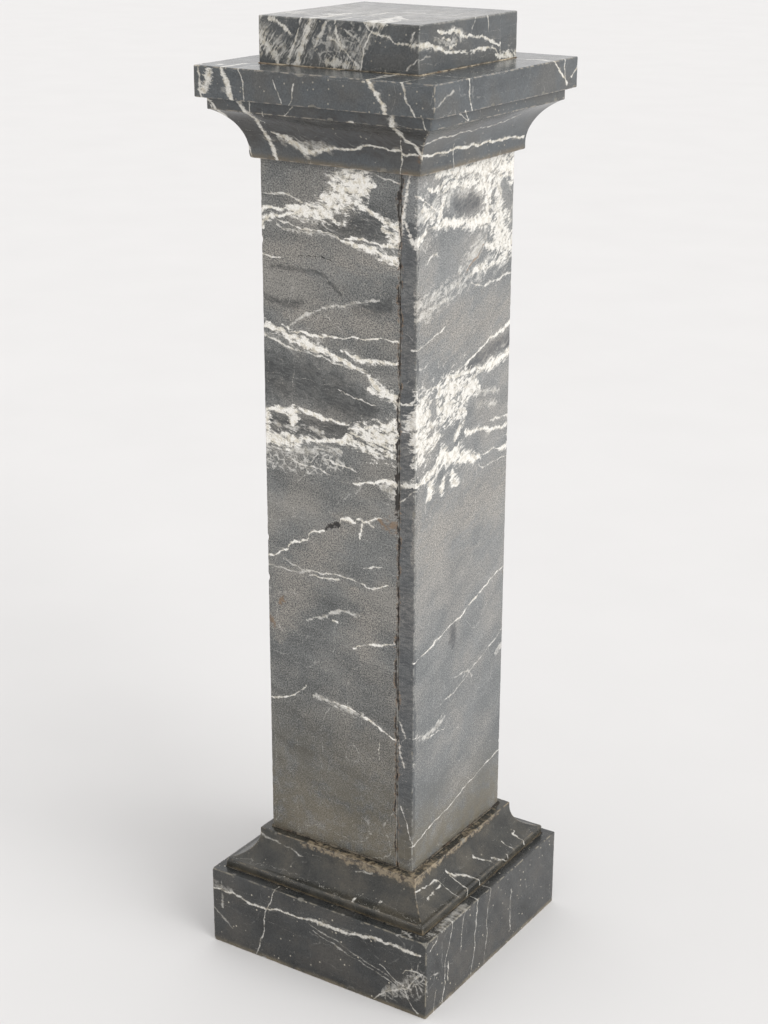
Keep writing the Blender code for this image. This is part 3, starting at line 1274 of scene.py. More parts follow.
@dataclass
class MortarBead:
    """The filling that shows along one joint."""

    name: str
    half: float
    height: float
    thickness: float
    unevenness: float
    finish: MortarFinish
    seed: float = 0.0

    def material(self) -> bpy.types.Material:
        """Dry lime mortar: chalky, stained brown, rusty in places, with grit.

        Returns:
            The material.
        """
        # At the plinth's joint the near-black colours are partly painted shadow in the groove
        material, add = blank_material(self.name + " lime mortar")
        spot = add("ShaderNodeTexCoord", out="Object")
        place = add(VECTOR, {0: spot, "Scale": 1.0 / MM}, SCALE)
        broad = add(NOISE, {"Vector": place, "Scale": 1 / 18, "Detail": 4.0, "Roughness": 0.7})
        broad = add(RANGE, {"Value": broad, "From Min": 0.38, "From Max": 0.6}, SMOOTH)
        colour = add(MIX, {0: broad, 6: linear(self.finish.deep), 7: linear(self.finish.pale)}, COLOURS, 2)
        shifted = add(VECTOR, {0: place, 1: (53.0, 11.0, 7.0)}, ADD)
        rusty = add(NOISE, {"Vector": shifted, "Scale": 1 / 26, "Detail": 3.0, "Roughness": 0.6})
        rusty = add(RANGE, {
            "Value": rusty, "From Min": 0.54, "From Max": 0.66, "To Max": self.finish.rust_share}, SMOOTH)
        colour = add(MIX, {0: rusty, 6: colour, 7: linear(self.finish.rust)}, COLOURS, 2)
        grit = add(NOISE, {"Vector": place, "Scale": 1 / 1.3, "Detail": 3.0, "Roughness": 0.7})
        dark = add(RANGE, {"Value": grit, "From Min": 0.3, "From Max": 0.55, "To Min": 0.45}, SMOOTH)
        tint = add("ShaderNodeCombineColor", {0: dark, 1: dark, 2: dark})
        colour = add(MIX, {0: 1.0, 6: colour, 7: tint}, MULTIPLIED, 2)
        normal = add("ShaderNodeBump", {"Strength": 1.0, "Distance": 0.6 * MM, "Height": grit})
        shader = add("ShaderNodeBsdfPrincipled", {
            "Base Color": colour, "Roughness": 0.92, "Normal": normal})
        add("ShaderNodeOutputMaterial", {"Surface": shader})
        return material

    def build(self, bead: MortarTree) -> bpy.types.Object:
        """Lays the bead.

        Args:
            bead: the tree that lays it.

        Returns:
            The finished piece.
        """
        values = {"Half": self.half * MM, "Height": self.height * MM, "Thickness": self.thickness * MM,
                  "Unevenness": self.unevenness, "Seed": self.seed, "Mortar": self.material()}
        piece = made_by(bead.tree, new_object(self.name, bpy.data.meshes.new(self.name)), values)
        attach(piece, "root")
        LOG.info("%s: %d faces", piece.name, len(piece.data.polygons))
        return piece


FRONT_SLAB_VEINS = on_face(
    FRONT,
    (BAND, "patch under the cap", (9, 17, 21, 16), (-12, 904), (6, 911), (20, 918), (32, 920)),
    (BAND, "patch spreads left", (3, 7, 9, 11), (-62, 888), (-45, 887), (-28, 888), (-8, 894)),
    (BAND, "streaks run out left", (3.5, 1.5, 4), (-97, 884), (-73, 887), (-51, 890)),
    (BAND, "lower streak at the left", (6, 3, 1.5, 2), (-97, 868), (-86, 875), (-69, 879), (-50, 884)),
    (THREAD, "upper streak at the left", (1.3, 1.6, 2), (-97, 902), (-66, 900), (-46, 896)),
    (BAND, "right branch", (4, 2.6, 3, 6), (30, 899), (42, 894), (58, 888), (77, 880)),
    (THREAD, "upper edge line", (2, 1.5, 1.5), (30, 934), (50, 931), (76, 927)),
    (SHADE, "dark wedge", (5, 12, 12, 6), (-20, 872), (10, 875), (36, 876), (62, 872)),
    (BAND, "lower branch", (0.8, 1.5, 2.6, 4, 5), (-6, 866), (9, 861), (28, 856), (50, 852), (77, 848)),
    (BAND, "lower branch upper line", (0.8, 1.2, 1.2, 2), (9, 864), (28, 864), (50, 861), (77, 861)),
    (BAND, "patch at the seam", (1.5, 6, 12), (55, 880), (66, 871), (77, 865)),
    (THREAD, "upper fan line", (1.2, 1, 0.8), (-86, 876), (-60, 870), (-30, 865), (-6, 866)),
    (WISP, "lower fan line", (1.4, 2, 1), (-78, 868), (-50, 862), (-20, 862), (0, 864)),
    (STAIN, "dusty belt", (12, 15, 11), (-97, 842), (-30, 840), (77, 842)),
    (PIT, "cracks in the belt", (0.5, 0.8, 0.5), (-48, 839), (-24, 841), (-7, 837)),
    (THREAD, "faint line below the belt", (1, 0.6), (-97, 833), (-74, 833)),
    (SHADE, "dark arc", (1.5, 2.4, 2.6, 1.5), (-85, 822), (-38, 825), (-14, 814), (4, 803)),
    (SHADE, "cool left", (3, 5, 3), (-97, 790), (-70, 786), (-44, 790)),
    (SHADE, "cloud over the second band", (4, 8), (22, 788), (62, 800)),
    (STAIN, "dust under the arc", (12, 18, 16), (-60, 772), (0, 775), (77, 776)),
    (WISP, "faint arc", (1.5, 1.5, 1.6, 1.2), (-66, 757), (-36, 779), (13, 794), (50, 804)),
    (BAND, "second band", (4, 5, 7, 5, 2.6, 3, 2.4, 3, 5), (-97, 757), (-66, 751), (-52, 747), (-26, 741),
     (-14, 738), (9, 732), (30, 726), (47, 713), (77, 701)),
    (BAND, "second band upper line", (3, 2, 1, 0.8, 0.8), (-62, 754), (-33, 755), (-4, 756), (22, 759),
     (77, 764)),
    (BAND, "second band middle line", (1, 1.6, 2.4, 1.6), (5, 743), (25, 739), (43, 737), (77, 742)),
    (THREAD, "second band lower line", (1.3, 1.5, 1.3, 1), (-97, 747), (-76, 740), (-43, 735), (5, 727)),
    (BAND, "second band at the seam", (1.5, 3.5, 7), (38, 706), (59, 704), (77, 700)),
    (SHADE, "smooth belt", (26, 25, 21, 12), (-97, 702), (-50, 703), (5, 693), (40, 685)),
    (THREAD, "hairline in the belt", (0.6, 0.9, 0.5), (0, 700), (24, 694), (46, 692)),
    (BAND, "third band top vein", (2.2, 3, 1.8, 0.8), (-97, 662), (-57, 668), (-21, 666), (12, 664)),
    (BAND, "third band drop", (6, 5), (-58, 668), (-60, 656)),
    (BAND, "third band left drop", (4, 4), (-93, 658), (-92, 638)),
    (SHADE, "dark between", (11, 12, 11, 6), (-84, 650), (-37, 652), (4, 654), (14, 640)),
    (WISP, "specks between", (2.5, 2), (-90, 648), (-20, 651)),
    (BAND, "third band", (9, 10, 8, 4, 3, 3.4), (-97, 628), (-75, 632), (-60, 635), (-40, 638), (-14, 641),
     (21, 646)),
    (NET, "mottling under the third band", (12, 13, 9), (-97, 608), (-51, 614), (0, 618)),
    (WISP, "mottling in the third band", (5, 4, 4), (-97, 618), (-51, 625), (0, 631)),
    (MASS, "third band mass", (7, 12, 15, 17), (14, 650), (30, 652), (53, 655), (77, 657)),
    (BAND, "upper streak of the mass", (2, 2, 2.5, 4), (13, 658), (30, 662), (53, 670), (77, 676)),
    (BAND, "line under the mass", (0.7, 1.2, 2.5, 4), (18, 599), (47, 604), (59, 609), (77, 608)),
    (WISP, "patch under the mass", (6, 7), (60, 602), (77, 596)),
    (THREAD, "faint network", (1, 1.2, 0.8), (-66, 612), (-30, 608), (-10, 604)),
    (THREAD, "faint network right", (0.8, 1.2, 0.8), (-16, 618), (8, 618), (26, 612)),
    (BAND, "jagged vein foot", (1.1, 1.3, 1), (-97, 491), (-84, 496), (-71, 503)),
    (BAND, "jagged vein step", (1, 1.3, 1.3), (-71, 503), (-69, 509), (-43, 520)),
    (BAND, "jagged vein climbs", (1.2, 1, 1), (-43, 520), (-36, 531), (-19, 536)),
    (PIT, "chip in the jagged vein", (2.6, 3.6), (-15, 540), (-2, 548)),
    (BAND, "jagged vein past the chip", (1.6, 1.6, 1.3, 1.4, 1.2), (1, 548), (5, 556), (18, 554), (25, 559),
     (31, 556)),
    (BAND, "jagged vein fades", (1.2, 0.9, 0.7), (31, 556), (40, 562), (53, 567)),
    (THREAD, "spur of the jagged vein", (1.4, 1), (36, 560), (43, 554)),
    (BAND, "drop of the jagged vein", (1.1, 0.6), (29, 553), (29, 536)),
    (RUST, "brown patch at the seam", (3, 7, 8), (50, 563), (63, 560), (77, 560)),
    (STAIN, "dust from the chip down", (16, 24, 24, 14), (4, 548), (-30, 510), (-62, 460), (-84, 400)),
    (STAIN, "dust at the right", (10, 16, 10), (20, 470), (40, 440), (30, 400)),
    (WISP, "low line left", (0.9, 1.2, 1.2), (-97, 480), (-74, 480), (-40, 484)),
    (WISP, "low line second strand", (1.4, 1), (-74, 490), (-42, 483)),
    (THREAD, "low line right", (0.7, 1, 1.2, 1, 0.6), (-42, 484), (-23, 485), (4, 488), (25, 485), (43, 484)),
    (THREAD, "low line under strand", (1, 1), (-40, 479), (0, 482)),
    (THREAD, "low line end", (1, 0.7), (43, 484), (62, 491)),
    (THREAD, "short line", (1, 0.8), (34, 505), (57, 509)),
    (WISP, "faint hump", (1.2, 1.8, 1.6, 1), (-43, 423), (-16, 435), (11, 445), (28, 444)),
    (BAND, "spot in the hump", (1.2, 1.2), (-9, 431), (-2, 431)),
    (BAND, "short thick vein", (0.7, 1.2, 1.4, 1.3), (18, 404), (40, 414), (60, 418), (77, 425)),
    (THREAD, "foot vein left", (1.3, 1.1, 0.8), (-97, 315), (-70, 325), (-46, 342)),
    (WISP, "foot vein haze", (1.5, 3.5, 2.5), (-36, 334), (0, 329), (30, 325)),
    (BAND, "foot vein right", (0.6, 0.8, 1.2, 1.3), (-8, 332), (13, 329), (46, 318), (77, 305)),
    (RUST, "seam blotches", (4, 3, 2, 2.6, 1.6, 3, 2.4, 3, 2, 2, 2.4), (77, 936), (77, 905), (77, 860),
     (77, 800), (77, 700), (77, 610), (77, 520), (77, 400), (77, 300), (77, 200), (77, 147)),
    (PIT, "black seam", (3, 2, 1, 1.6, 1, 2.6, 1.2, 1.8, 0.9, 1.2, 1), (77, 936), (76, 905), (77, 860),
     (77, 800), (77, 700), (76, 610), (77, 520), (77, 400), (77, 300), (77, 200), (77, 147)),
    (THREAD, "foot wisp", (0.9, 0.4), (54, 295), (51, 276)),
    (RUST, "rust on the left", (1.5, 3), (-78, 446), (-80, 438)),
    (RUST, "rust at the left arris", (3, 2), (-96, 418), (-88, 410)),
)

RIGHT_SLAB_VEINS = on_face(
    FRONT,
    (BAND, "seam fork", (2, 1.8, 2.8, 2), (88, 936), (84, 915), (80, 895), (77, 874)),
    (BAND, "seam fork right leg", (1.8, 1.6, 2, 3), (80, 898), (85, 882), (92, 869), (98, 866)),
    (SHADE, "dark edge", (22, 22, 22, 26), (87, 866), (87, 640), (87, 400), (87, 180)),
    (BAND, "edge bits", (1.2, 1.5, 2), (77, 704), (84, 699), (97, 706)),
    (BAND, "edge band", (1.4, 1.8, 2.5), (77, 608), (84, 607), (98, 611)),
    (THREAD, "edge line", (1, 1.2), (77, 588), (98, 604)),
    (BAND, "edge of the mass", (4, 8, 6), (99, 694), (96, 670), (99, 646)),
    (THREAD, "edge spots", (1.4, 1.2), (78, 338), (83, 327), (87, 313)),
    (THREAD, "edge spots below", (1.2, 1), (78, 306), (82, 291), (87, 276)),
    (THREAD, "edge foot line", (0.9, 0.9), (84, 225), (90, 201), (98, 180)),
    (RUST, "seam blotches", (4, 3, 2, 2, 1.6, 2, 2, 2.4, 2), (77, 936), (77, 905), (77, 860), (77, 780),
     (77, 610), (77, 520), (77, 400), (77, 300), (77, 147)),
    (PIT, "black seam", (2.5, 1.6, 0.8, 1, 1.2, 0.8), (77, 936), (77, 905), (77, 800), (77, 610), (77, 400),
     (77, 147)),
) + on_face(
    RIGHT,
    (BAND, "white under the cap", (3, 8, 13, 16, 16), (-62, 931), (-34, 931), (8, 927), (48, 923), (97, 922)),
    (BAND, "ring top", (4, 5, 5, 6), (-44, 912), (-26, 917), (4, 914), (27, 908)),
    (BAND, "ring left", (5, 5, 4), (-44, 914), (-50, 899), (-56, 886)),
    (BAND, "ring right", (10, 10, 9), (36, 912), (42, 893), (40, 878)),
    (BAND, "ring bottom", (2.5, 5, 6, 7), (-54, 880), (-25, 878), (6, 873), (43, 869)),
    (HOLE, "dark block in the ring", (9, 10, 9), (-28, 897), (-6, 894), (18, 890)),
    (SHADE, "depth of the block", (7, 10, 9), (-24, 896), (-6, 894), (16, 892)),
    (BAND, "fleck in the block", (2, 2), (-12, 896), (0, 896)),
    (MASS, "right mass", (22, 18, 15, 15), (66, 915), (68, 892), (66, 866), (76, 846)),
    (HOLE, "dark in the right mass", (7, 10), (76, 902), (86, 884)),
    (NET, "speckled oval", (12, 20, 18, 20), (-95, 894), (-78, 895), (-40, 905), (60, 912)),
    (WISP, "haze round the ring", (9, 14, 20, 22), (-90, 894), (-60, 900), (10, 910), (70, 900)),
    (MASS, "streaks in the oval", (4, 6, 5), (-88, 900), (-78, 892), (-68, 888)),
    (BAND, "fork carries on", (5, 3, 2.5, 3), (-97, 867), (-84, 875), (-65, 879), (-50, 881)),
    (BAND, "curved line", (0.9, 1.3, 1.2), (-97, 914), (-84, 909), (-62, 896)),
    (BAND, "branching at the top left", (1, 2.5, 3), (-80, 922), (-62, 918), (-46, 924)),
    (MASS, "lower cluster", (4, 9, 12), (42, 842), (64, 838), (97, 834)),
    (RUST, "tan crack", (0.6, 1.1, 0.8), (34, 844), (17, 832), (0, 821)),
    (WISP, "haze by the crack", (5, 7, 6), (38, 852), (16, 838), (-10, 826)),
    (THREAD, "hook", (1.2, 1.8, 1.4), (-76, 843), (-66, 850), (-56, 848)),
    (WISP, "grey blobs", (6, 8, 8, 6), (0, 815), (30, 819), (60, 820), (97, 822)),
    (MASS, "grey blob cores", (2, 4, 3, 4), (14, 817), (34, 820), (60, 820), (84, 826)),
    (THREAD, "line under the blobs", (0.8, 1.4, 1.4), (12, 806), (46, 800), (97, 802)),
    (WISP, "grey diagonal", (6, 7, 5), (-97, 802), (-40, 810), (14, 819)),
    (WISP, "second grey diagonal", (4, 4, 3), (-97, 786), (-50, 797), (0, 806)),
    (THREAD, "thin line at the arris", (1.1, 0.9, 0.5), (-97, 758), (-77, 762), (-40, 768)),
    (WISP, "second thin line", (1.2, 0.8), (-97, 737), (-80, 737)),
    (BAND, "climbing line", (1.6, 1.2, 1.1, 1.3, 2.2), (-20, 714), (-6, 720), (15, 725), (53, 738),
     (97, 747)),
    (SHADE, "dark gap", (5, 9, 9), (0, 716), (50, 724), (97, 730)),
    (BAND, "upper band", (3, 4, 3, 2.5, 5, 6, 4), (-38, 706), (-18, 712), (1, 711), (28, 709), (50, 708),
     (68, 709), (97, 713)),
    (MASS, "mass below it", (11, 15, 13, 6), (-46, 700), (-16, 697), (14, 692), (30, 688)),
    (MASS, "mass at the arris", (22, 20, 17, 15, 7), (-97, 674), (-74, 680), (-45, 680), (-20, 676),
     (0, 664)),
    (MASS, "tongue of the mass", (17, 12, 5), (-97, 652), (-79, 651), (-52, 652)),
    (BAND, "lower mass", (4, 8, 11, 9, 7, 3), (-80, 612), (-60, 618), (-40, 626), (-18, 624), (6, 615),
     (37, 606)),
    (BAND, "link of the masses", (3, 3, 3), (-6, 660), (-16, 645), (-26, 632)),
    (BAND, "white at the arris", (4, 3, 3), (-97, 608), (-88, 612), (-72, 618)),
    (HOLE, "first dark island", (6, 7), (-64, 692), (-63, 678)),
    (HOLE, "second dark island", (7, 8), (-30, 652), (-26, 638)),
    (HOLE, "third dark island", (8, 9), (16, 674), (15, 656)),
    (BAND, "white line at the left", (1.4, 2, 1.4), (-76, 711), (-62, 710), (-48, 706)),
    (WISP, "ring at the left", (2.2, 2.2), (-93, 704), (-80, 713)),
    (BAND, "first branch", (3, 2.2, 2.2, 3), (3, 644), (30, 637), (56, 633), (97, 629)),
    (BAND, "second branch", (2, 1, 1.5, 3), (19, 606), (43, 609), (75, 606), (97, 604)),
    (THREAD, "third branch", (1.2, 1.2, 1), (33, 602), (44, 593), (97, 593)),
    (WISP, "faint branch", (3, 3, 2), (2, 686), (34, 681), (75, 675)),
    (WISP, "faint branch two", (3.5, 3), (24, 670), (68, 662)),
    (THREAD, "faint branch three", (1, 1.6), (58, 643), (97, 641)),
    (BAND, "left blob", (6.5, 6), (-68, 608), (-68, 590)),
    (BAND, "middle blob", (3.5, 5), (-22, 606), (-14, 591)),
    (BAND, "small blob", (2.5, 3.5), (-41, 602), (-44, 585)),
    (BAND, "rising thread", (0.7, 0.8), (-97, 406), (-75, 409), (-50, 418), (-1, 428), (43, 442), (97, 458)),
    (THREAD, "second rising thread", (0.8, 1), (-39, 334), (2, 341), (47, 361), (97, 376)),
    (THREAD, "short falling thread", (1, 0.7), (-97, 315), (-73, 309), (-40, 300), (-25, 307)),
    (THREAD, "foot thread", (0.8, 0.7), (-97, 177), (-70, 186), (-16, 195), (29, 208), (97, 219)),
    (WISP, "tan patch", (3, 5), (84, 352), (97, 358)),
    (WISP, "grey haze low", (3, 4, 2), (-90, 314), (-64, 308), (-30, 314)),
    (STAIN, "warm dust high", (20, 34, 34, 24), (-97, 800), (-40, 768), (20, 760), (97, 770)),
    (STAIN, "warm dust middle", (40, 44, 30), (-97, 540), (-20, 548), (97, 556)),
    (WISP, "line above the second thread", (0.9, 0.9), (-9, 357), (11, 354), (29, 342)),
    (SHADE, "dark oval", (5, 6.5, 5), (-15, 399), (-15, 411), (-15, 423)),
)

CAP_VEINS = on_face(
    FRONT,
    (THREAD, "left corner line", (1.3, 1.1), (-141, 1033), (-138, 1016), (-134, 1003), (-131, 990)),
    (MASS, "light patch", (5, 5), (-126, 1028), (-131, 1010)),
    (BAND, "thick vein", (2.6, 2.4), (-109, 1033), (-104, 1016), (-97, 1002), (-86, 987), (-81, 974),
     (-77, 958), (-69, 938)),
    (BAND, "left vein", (1.6, 1.3), (-134, 1000), (-126, 988), (-115, 968), (-101, 938)),
    (THREAD, "thin line beside it", (0.9, 0.9), (-88, 1033), (-82, 1014), (-83, 994), (-72, 975)),
    (THREAD, "middle line", (0.9, 0.8), (-42, 1022), (-35, 1002)),
    (THREAD, "middle line two", (0.9, 0.7), (-17, 1020), (-23, 1004), (-39, 988)),
    (BAND, "thick vein right", (2.4, 2.2), (70, 1033), (81, 1017), (89, 1001), (90, 987), (91, 983),
     (97, 973), (107, 963), (110, 952)),
    (THREAD, "thin line right", (1.1, 1.1), (107, 1033), (114, 1018), (122, 1002), (128, 990)),
    (BAND, "dot on the abacus", (1.2, 1.2), (64, 1031), (66, 1031)),
    (BAND, "dot on the fillet", (1.3, 1.3), (41, 988), (44, 988)),
    (BAND, "cove line", (1.4, 3, 4.4, 4, 2.4, 1.4, 1.2, 1.4, 1.6, 1.2, 1.4), (-69, 968), (-58, 962),
     (-39, 955), (-25, 951), (-12, 953), (17, 957), (54, 962), (78, 963), (85, 958), (97, 957), (108, 958)),
    (WISP, "haze on the cove line", (3, 5, 3), (-64, 962), (-34, 956), (6, 956)),
    (RUST, "rust on the cove", (2, 2), (104, 950), (107, 957)),
    (RUST, "rust at the cap's foot", (1.5, 1.5), (82, 938), (90, 939)),
    (THREAD, "cove upright line", (0.9, 0.9), (93, 980), (84, 957), (83, 938)),
    (THREAD, "small line", (0.8, 0.8), (-65, 990), (-67, 984)),
    # Painted shade: a brownish dark cloud over the cove, which lies in shade below the fillet
    (SHADE, "brown haze on the cove", (16, 20, 16), (-120, 972), (0, 974), (120, 972)),
) + on_face(
    RIGHT,
    (THREAD, "front corner vein", (1.2, 1.2), (-81, 1033), (-80, 1020), (-74, 1002), (-67, 989)),
    (THREAD, "line at the fillet", (0.9, 0.9), (-87, 1001), (-70, 989)),
    (BAND, "far falling line", (1.2, 1.3), (89, 1033), (107, 1020), (122, 1006)),
    (THREAD, "far short line", (1, 0.8), (114, 1033), (116, 1019), (122, 1004)),
    (THREAD, "far end line", (1, 1), (143, 1023), (130, 1013)),
    (WISP, "front end line", (1, 1), (-143, 1011), (-110, 1023)),
    (BAND, "cove line right", (1.5, 1.2), (-108, 958), (-64, 956), (-15, 956), (37, 955), (101, 950)),
    (THREAD, "thin cove line right", (0.9, 0.9), (-112, 969), (-79, 974), (-11, 974), (61, 980)),
    (THREAD, "short cove line right", (0.9, 0.7), (-51, 961), (-43, 937)),
)

TOP_BLOCK_VEINS = on_face(
    FRONT,
    (MASS, "cream mass left", (6, 6, 3), (-97, 1062), (-85, 1052), (-74, 1038)),
    (BAND, "cream edge", (1.2, 2, 1.4), (-97, 1064), (-84, 1048), (-72, 1036)),
    (BAND, "upper left streak", (1.6, 2.2, 1.4), (-84, 1080), (-69, 1072), (-58, 1065)),
    (WISP, "pale haze", (9, 10, 9), (-31, 1080), (-40, 1059), (-50, 1036)),
    (BAND, "pale streak", (4, 4, 5), (-31, 1080), (-40, 1059), (-52, 1036)),
    (BAND, "second streak", (1.2, 1.5, 1.4), (-44, 1080), (-51, 1059), (-60, 1036)),
    (THREAD, "third streak", (1.4, 1.2), (-14, 1077), (-26, 1054)),
    (WISP, "net haze", (4, 7, 5), (-10, 1062), (8, 1056), (20, 1050)),
    (BAND, "net upright", (1.2, 1.6, 1), (-2, 1078), (1, 1064), (10, 1056)),
    (BAND, "net across", (1.2, 1.4, 1.6, 1.8), (-8, 1062), (8, 1054), (18, 1044), (25, 1038)),
    (MASS, "net foot", (3, 4, 3), (-12, 1038), (6, 1040), (20, 1037)),
    (THREAD, "net right", (1.2, 1.6), (10, 1073), (28, 1062)),
    (BAND, "patch at the top arris", (2, 3.5, 1.5), (33, 1080), (46, 1080), (60, 1079)),
    (BAND, "main vein", (1, 1.5, 1.3, 1.2, 1.6, 1.6), (35, 1077), (43, 1071), (62, 1067), (72, 1061),
     (87, 1061), (97, 1061)),
    (BAND, "branch of the main vein", (1.2, 1, 0.8), (43, 1070), (36, 1059), (28, 1037)),
    (WISP, "main vein haze", (5, 4), (36, 1066), (28, 1046)),
    (THREAD, "loop of the main vein", (1, 0.9), (86, 1064), (90, 1074), (96, 1076)),
    (THREAD, "low right line", (1, 1.4), (82, 1038), (97, 1048)),
) + on_face(
    LEFT,
    (MASS, "cream mottle left", (8, 8), (-97, 1050), (-60, 1062), (-20, 1052)),
) + on_face(
    RIGHT,
    (BAND, "main vein carries on", (1.8, 2, 1.6, 1.2, 1.4, 2), (-97, 1061), (-83, 1060), (-55, 1055),
     (0, 1049), (30, 1049), (56, 1043)),
    (BAND, "second vein", (1.4, 1.6, 1.4, 1.6, 1.2), (-62, 1073), (-34, 1071), (-10, 1064), (26, 1059),
     (61, 1052)),
    (BAND, "drop of the second vein", (1, 1.4), (61, 1053), (60, 1040)),
    (BAND, "vein end patch", (2.5, 4.5, 2.5), (52, 1042), (70, 1039), (97, 1038)),
    (BAND, "small patch", (1.8, 1.8), (-50, 1066), (-38, 1065)),
    (BAND, "small patch below", (1.8, 2), (-38, 1057), (-28, 1058)),
    (THREAD, "short line", (1.2, 0.9), (12, 1082), (4, 1070)),
    (THREAD, "short line two", (1, 0.9), (35, 1078), (37, 1066)),
    (WISP, "low line", (1.2, 1), (-97, 1046), (-77, 1049)),
) + on_face(
    FRONT,
    (NET, "net in the middle", (12, 18, 12), (-22, 1058), (4, 1057), (30, 1058)),
    (WISP, "haze at the left", (6, 5), (-97, 1072), (-66, 1050)),
) + on_face(
    RIGHT,
    (WISP, "fine lines right", (2, 3), (-70, 1066), (-20, 1060)),
) + on_face(
    TOP,
    # Painted sheen: the glossy top is lightened with a pale grainy colour
    (STAIN, "dust on the top", (90, 90), (-97, 0), (97, 0)),
)

PLINTH_VEINS = on_face(
    FRONT,
    (BAND, "long diagonal", (1.5, 1.1), (-150, 72), (-117, 75), (-90, 67), (-58, 72)),
    (BAND, "long diagonal right", (1, 2), (-58, 72), (-43, 74), (6, 74), (41, 76), (75, 80)),
    (BAND, "long diagonal end", (2, 1.2), (75, 80), (109, 81), (143, 83)),
    (THREAD, "upright line", (0.8, 0.9), (-58, 99), (-66, 76), (-76, 38), (-84, 4)),
    (WISP, "left spur", (1.1, 1.1), (-137, 84), (-136, 48)),
    (WISP, "left low line", (0.9, 0.9), (-148, 46), (-120, 24)),
    (THREAD, "corner network rise", (1.2, 1.6), (82, 3), (98, 17), (109, 24), (124, 32), (144, 57)),
    (THREAD, "corner network arch", (1.4, 1.4), (120, 50), (134, 58), (145, 50)),
    (THREAD, "corner network cross", (0.8, 1.1), (89, 50), (103, 40), (116, 33), (126, 18), (140, 6)),
    (WISP, "corner network haze", (3, 5, 5), (92, 14), (112, 30), (136, 48)),
    (NET, "corner network net", (6, 10, 12), (96, 12), (114, 28), (140, 46)),
    (WISP, "corner upright line", (0.9, 0.9), (123, 27), (143, 74)),
    (WISP, "hairline off the diagonal", (0.6, 0.8, 1), (-14, 70), (40, 56), (110, 34)),
    (WISP, "haze off the diagonal", (0.6, 0.8, 0.8), (-4, 62), (40, 50), (112, 28)),
    (WISP, "blotch at the left end", (4, 3), (-148, 78), (-122, 76)),
) + on_face(
    RIGHT,
    (THREAD, "first upright line", (0.6, 0.8), (-92, 99), (-105, 54), (-112, 4)),
    (THREAD, "second upright line", (0.5, 0.4), (-63, 99), (-70, 81), (-74, 50)),
    (THREAD, "third upright line", (0.8, 0.7), (-38, 99), (-42, 53), (-50, 3)),
    (THREAD, "fourth upright line", (0.6, 0.4), (-7, 99), (-13, 64), (-18, 20), (-21, 2)),
    (WISP, "far upright line", (1.1, 0.9), (42, 72), (42, 14)),
    (THREAD, "line at the corner", (1.1, 0.9), (-124, 99), (-127, 92), (-142, 87)),
    (WISP, "low corner line", (1.2, 0.8), (-137, 52), (-120, 49)),
    (THREAD, "low blob line", (0.7, 1.4), (-100, 48), (-103, 28)),
    (THREAD, "low corner spur", (0.6, 1), (-130, 24), (-133, 4)),
) + on_face(
    TOP,
    (WISP, "ledge mottle", (6, 6), (144, -112), (144, -96), (143, -80), (144, -58)),
    (NET, "ledge corner mottle", (8, 7), (116, -144), (144, -128)),
    (THREAD, "ledge thread", (1.2, 1), (142, -90), (150, -94)),
)

BASE_VEINS = on_face(
    FRONT,
    (WISP, "upper left line", (1.1, 1.1), (-106, 140), (-72, 133), (-45, 129)),
    (WISP, "upper middle line", (1.1, 1.1), (28, 133), (51, 138)),
    (BAND, "pale spot", (1.1, 1.1), (41, 108), (43, 108)),
    (BAND, "pale spot two", (1, 1), (70, 111), (72, 111)),
    (RUST, "earth along the seat", (1, 3, 3, 4, 4), (-50, 143), (-30, 142), (20, 143), (70, 142), (110, 142)),
    (RUST, "earth on the left corner", (2, 3), (-112, 140), (-120, 124)),
) + on_face(
    RIGHT,
    (RUST, "earth along the right seat", (5, 4, 3, 2), (-110, 142), (-60, 143), (10, 143), (80, 144)),
) + on_face(
    TOP,
    (RUST, "earth on the ledge", (3, 4, 4), (-40, -105), (30, -106), (108, -106)),
) + on_face(
    RIGHT,
    (THREAD, "corner bend", (1.1, 1), (-108, 130), (-90, 129), (-72, 128), (-62, 117), (-57, 106)),
    (THREAD, "corner strokes", (0.7, 0.9), (-96, 118), (-66, 122)),
    (THREAD, "white vein", (1.5, 1.3), (-44, 126), (-38, 121), (-26, 114), (-16, 109), (-12, 102)),
    (THREAD, "white vein companion", (1, 0.8), (-43, 121), (-40, 112), (-42, 103)),
    (THREAD, "grey vein", (0.9, 0.9), (9, 121), (20, 115), (24, 110)),
    (THREAD, "grey vein two", (0.9, 0.9), (32, 111), (37, 110), (47, 104)),
    (THREAD, "first dash", (0.9, 0.9), (68, 114), (67, 109)),
    (THREAD, "second dash", (0.8, 0.8), (97, 116), (91, 111), (94, 104)),
    (THREAD, "third dash", (0.8, 0.8), (52, 110), (52, 105)),
)

HIDDEN_SLAB_MARKS = (
    (BAND, "top sweep", (2.6, 2.0), (-97, 886), (-40, 898), (10, 890), (97, 902)),
    (THREAD, "upper thread", (0.9, 0.8), (-97, 800), (-30, 792), (97, 768)),
    (BAND, "middle band", (3.0, 2.0), (-97, 652), (-52, 668), (4, 662), (97, 690)),
    (MASS, "middle mottling", (10, 6), (-97, 640), (-50, 648), (0, 646)),
    (THREAD, "branch", (1.0, 0.8), (-20, 664), (30, 640), (97, 634)),
    (STAIN, "dusty cloud", (34, 26), (-97, 560), (60, 590)),
    (THREAD, "lower thread", (1.0, 0.9), (-97, 470), (0, 452), (97, 426)),
    (BAND, "short vein", (1.4, 1.2), (-60, 330), (-10, 322), (40, 330)),
    (WISP, "foot thread", (1.0, 1.0), (-97, 236), (10, 214), (97, 218)),
)


# A vein that comes this near a far arris, in mm, runs on beyond it in a few steps, and thins out
CARRIED_WITHIN = 12
CARRIED_STEPS = 3
CARRIED_END = 0.7


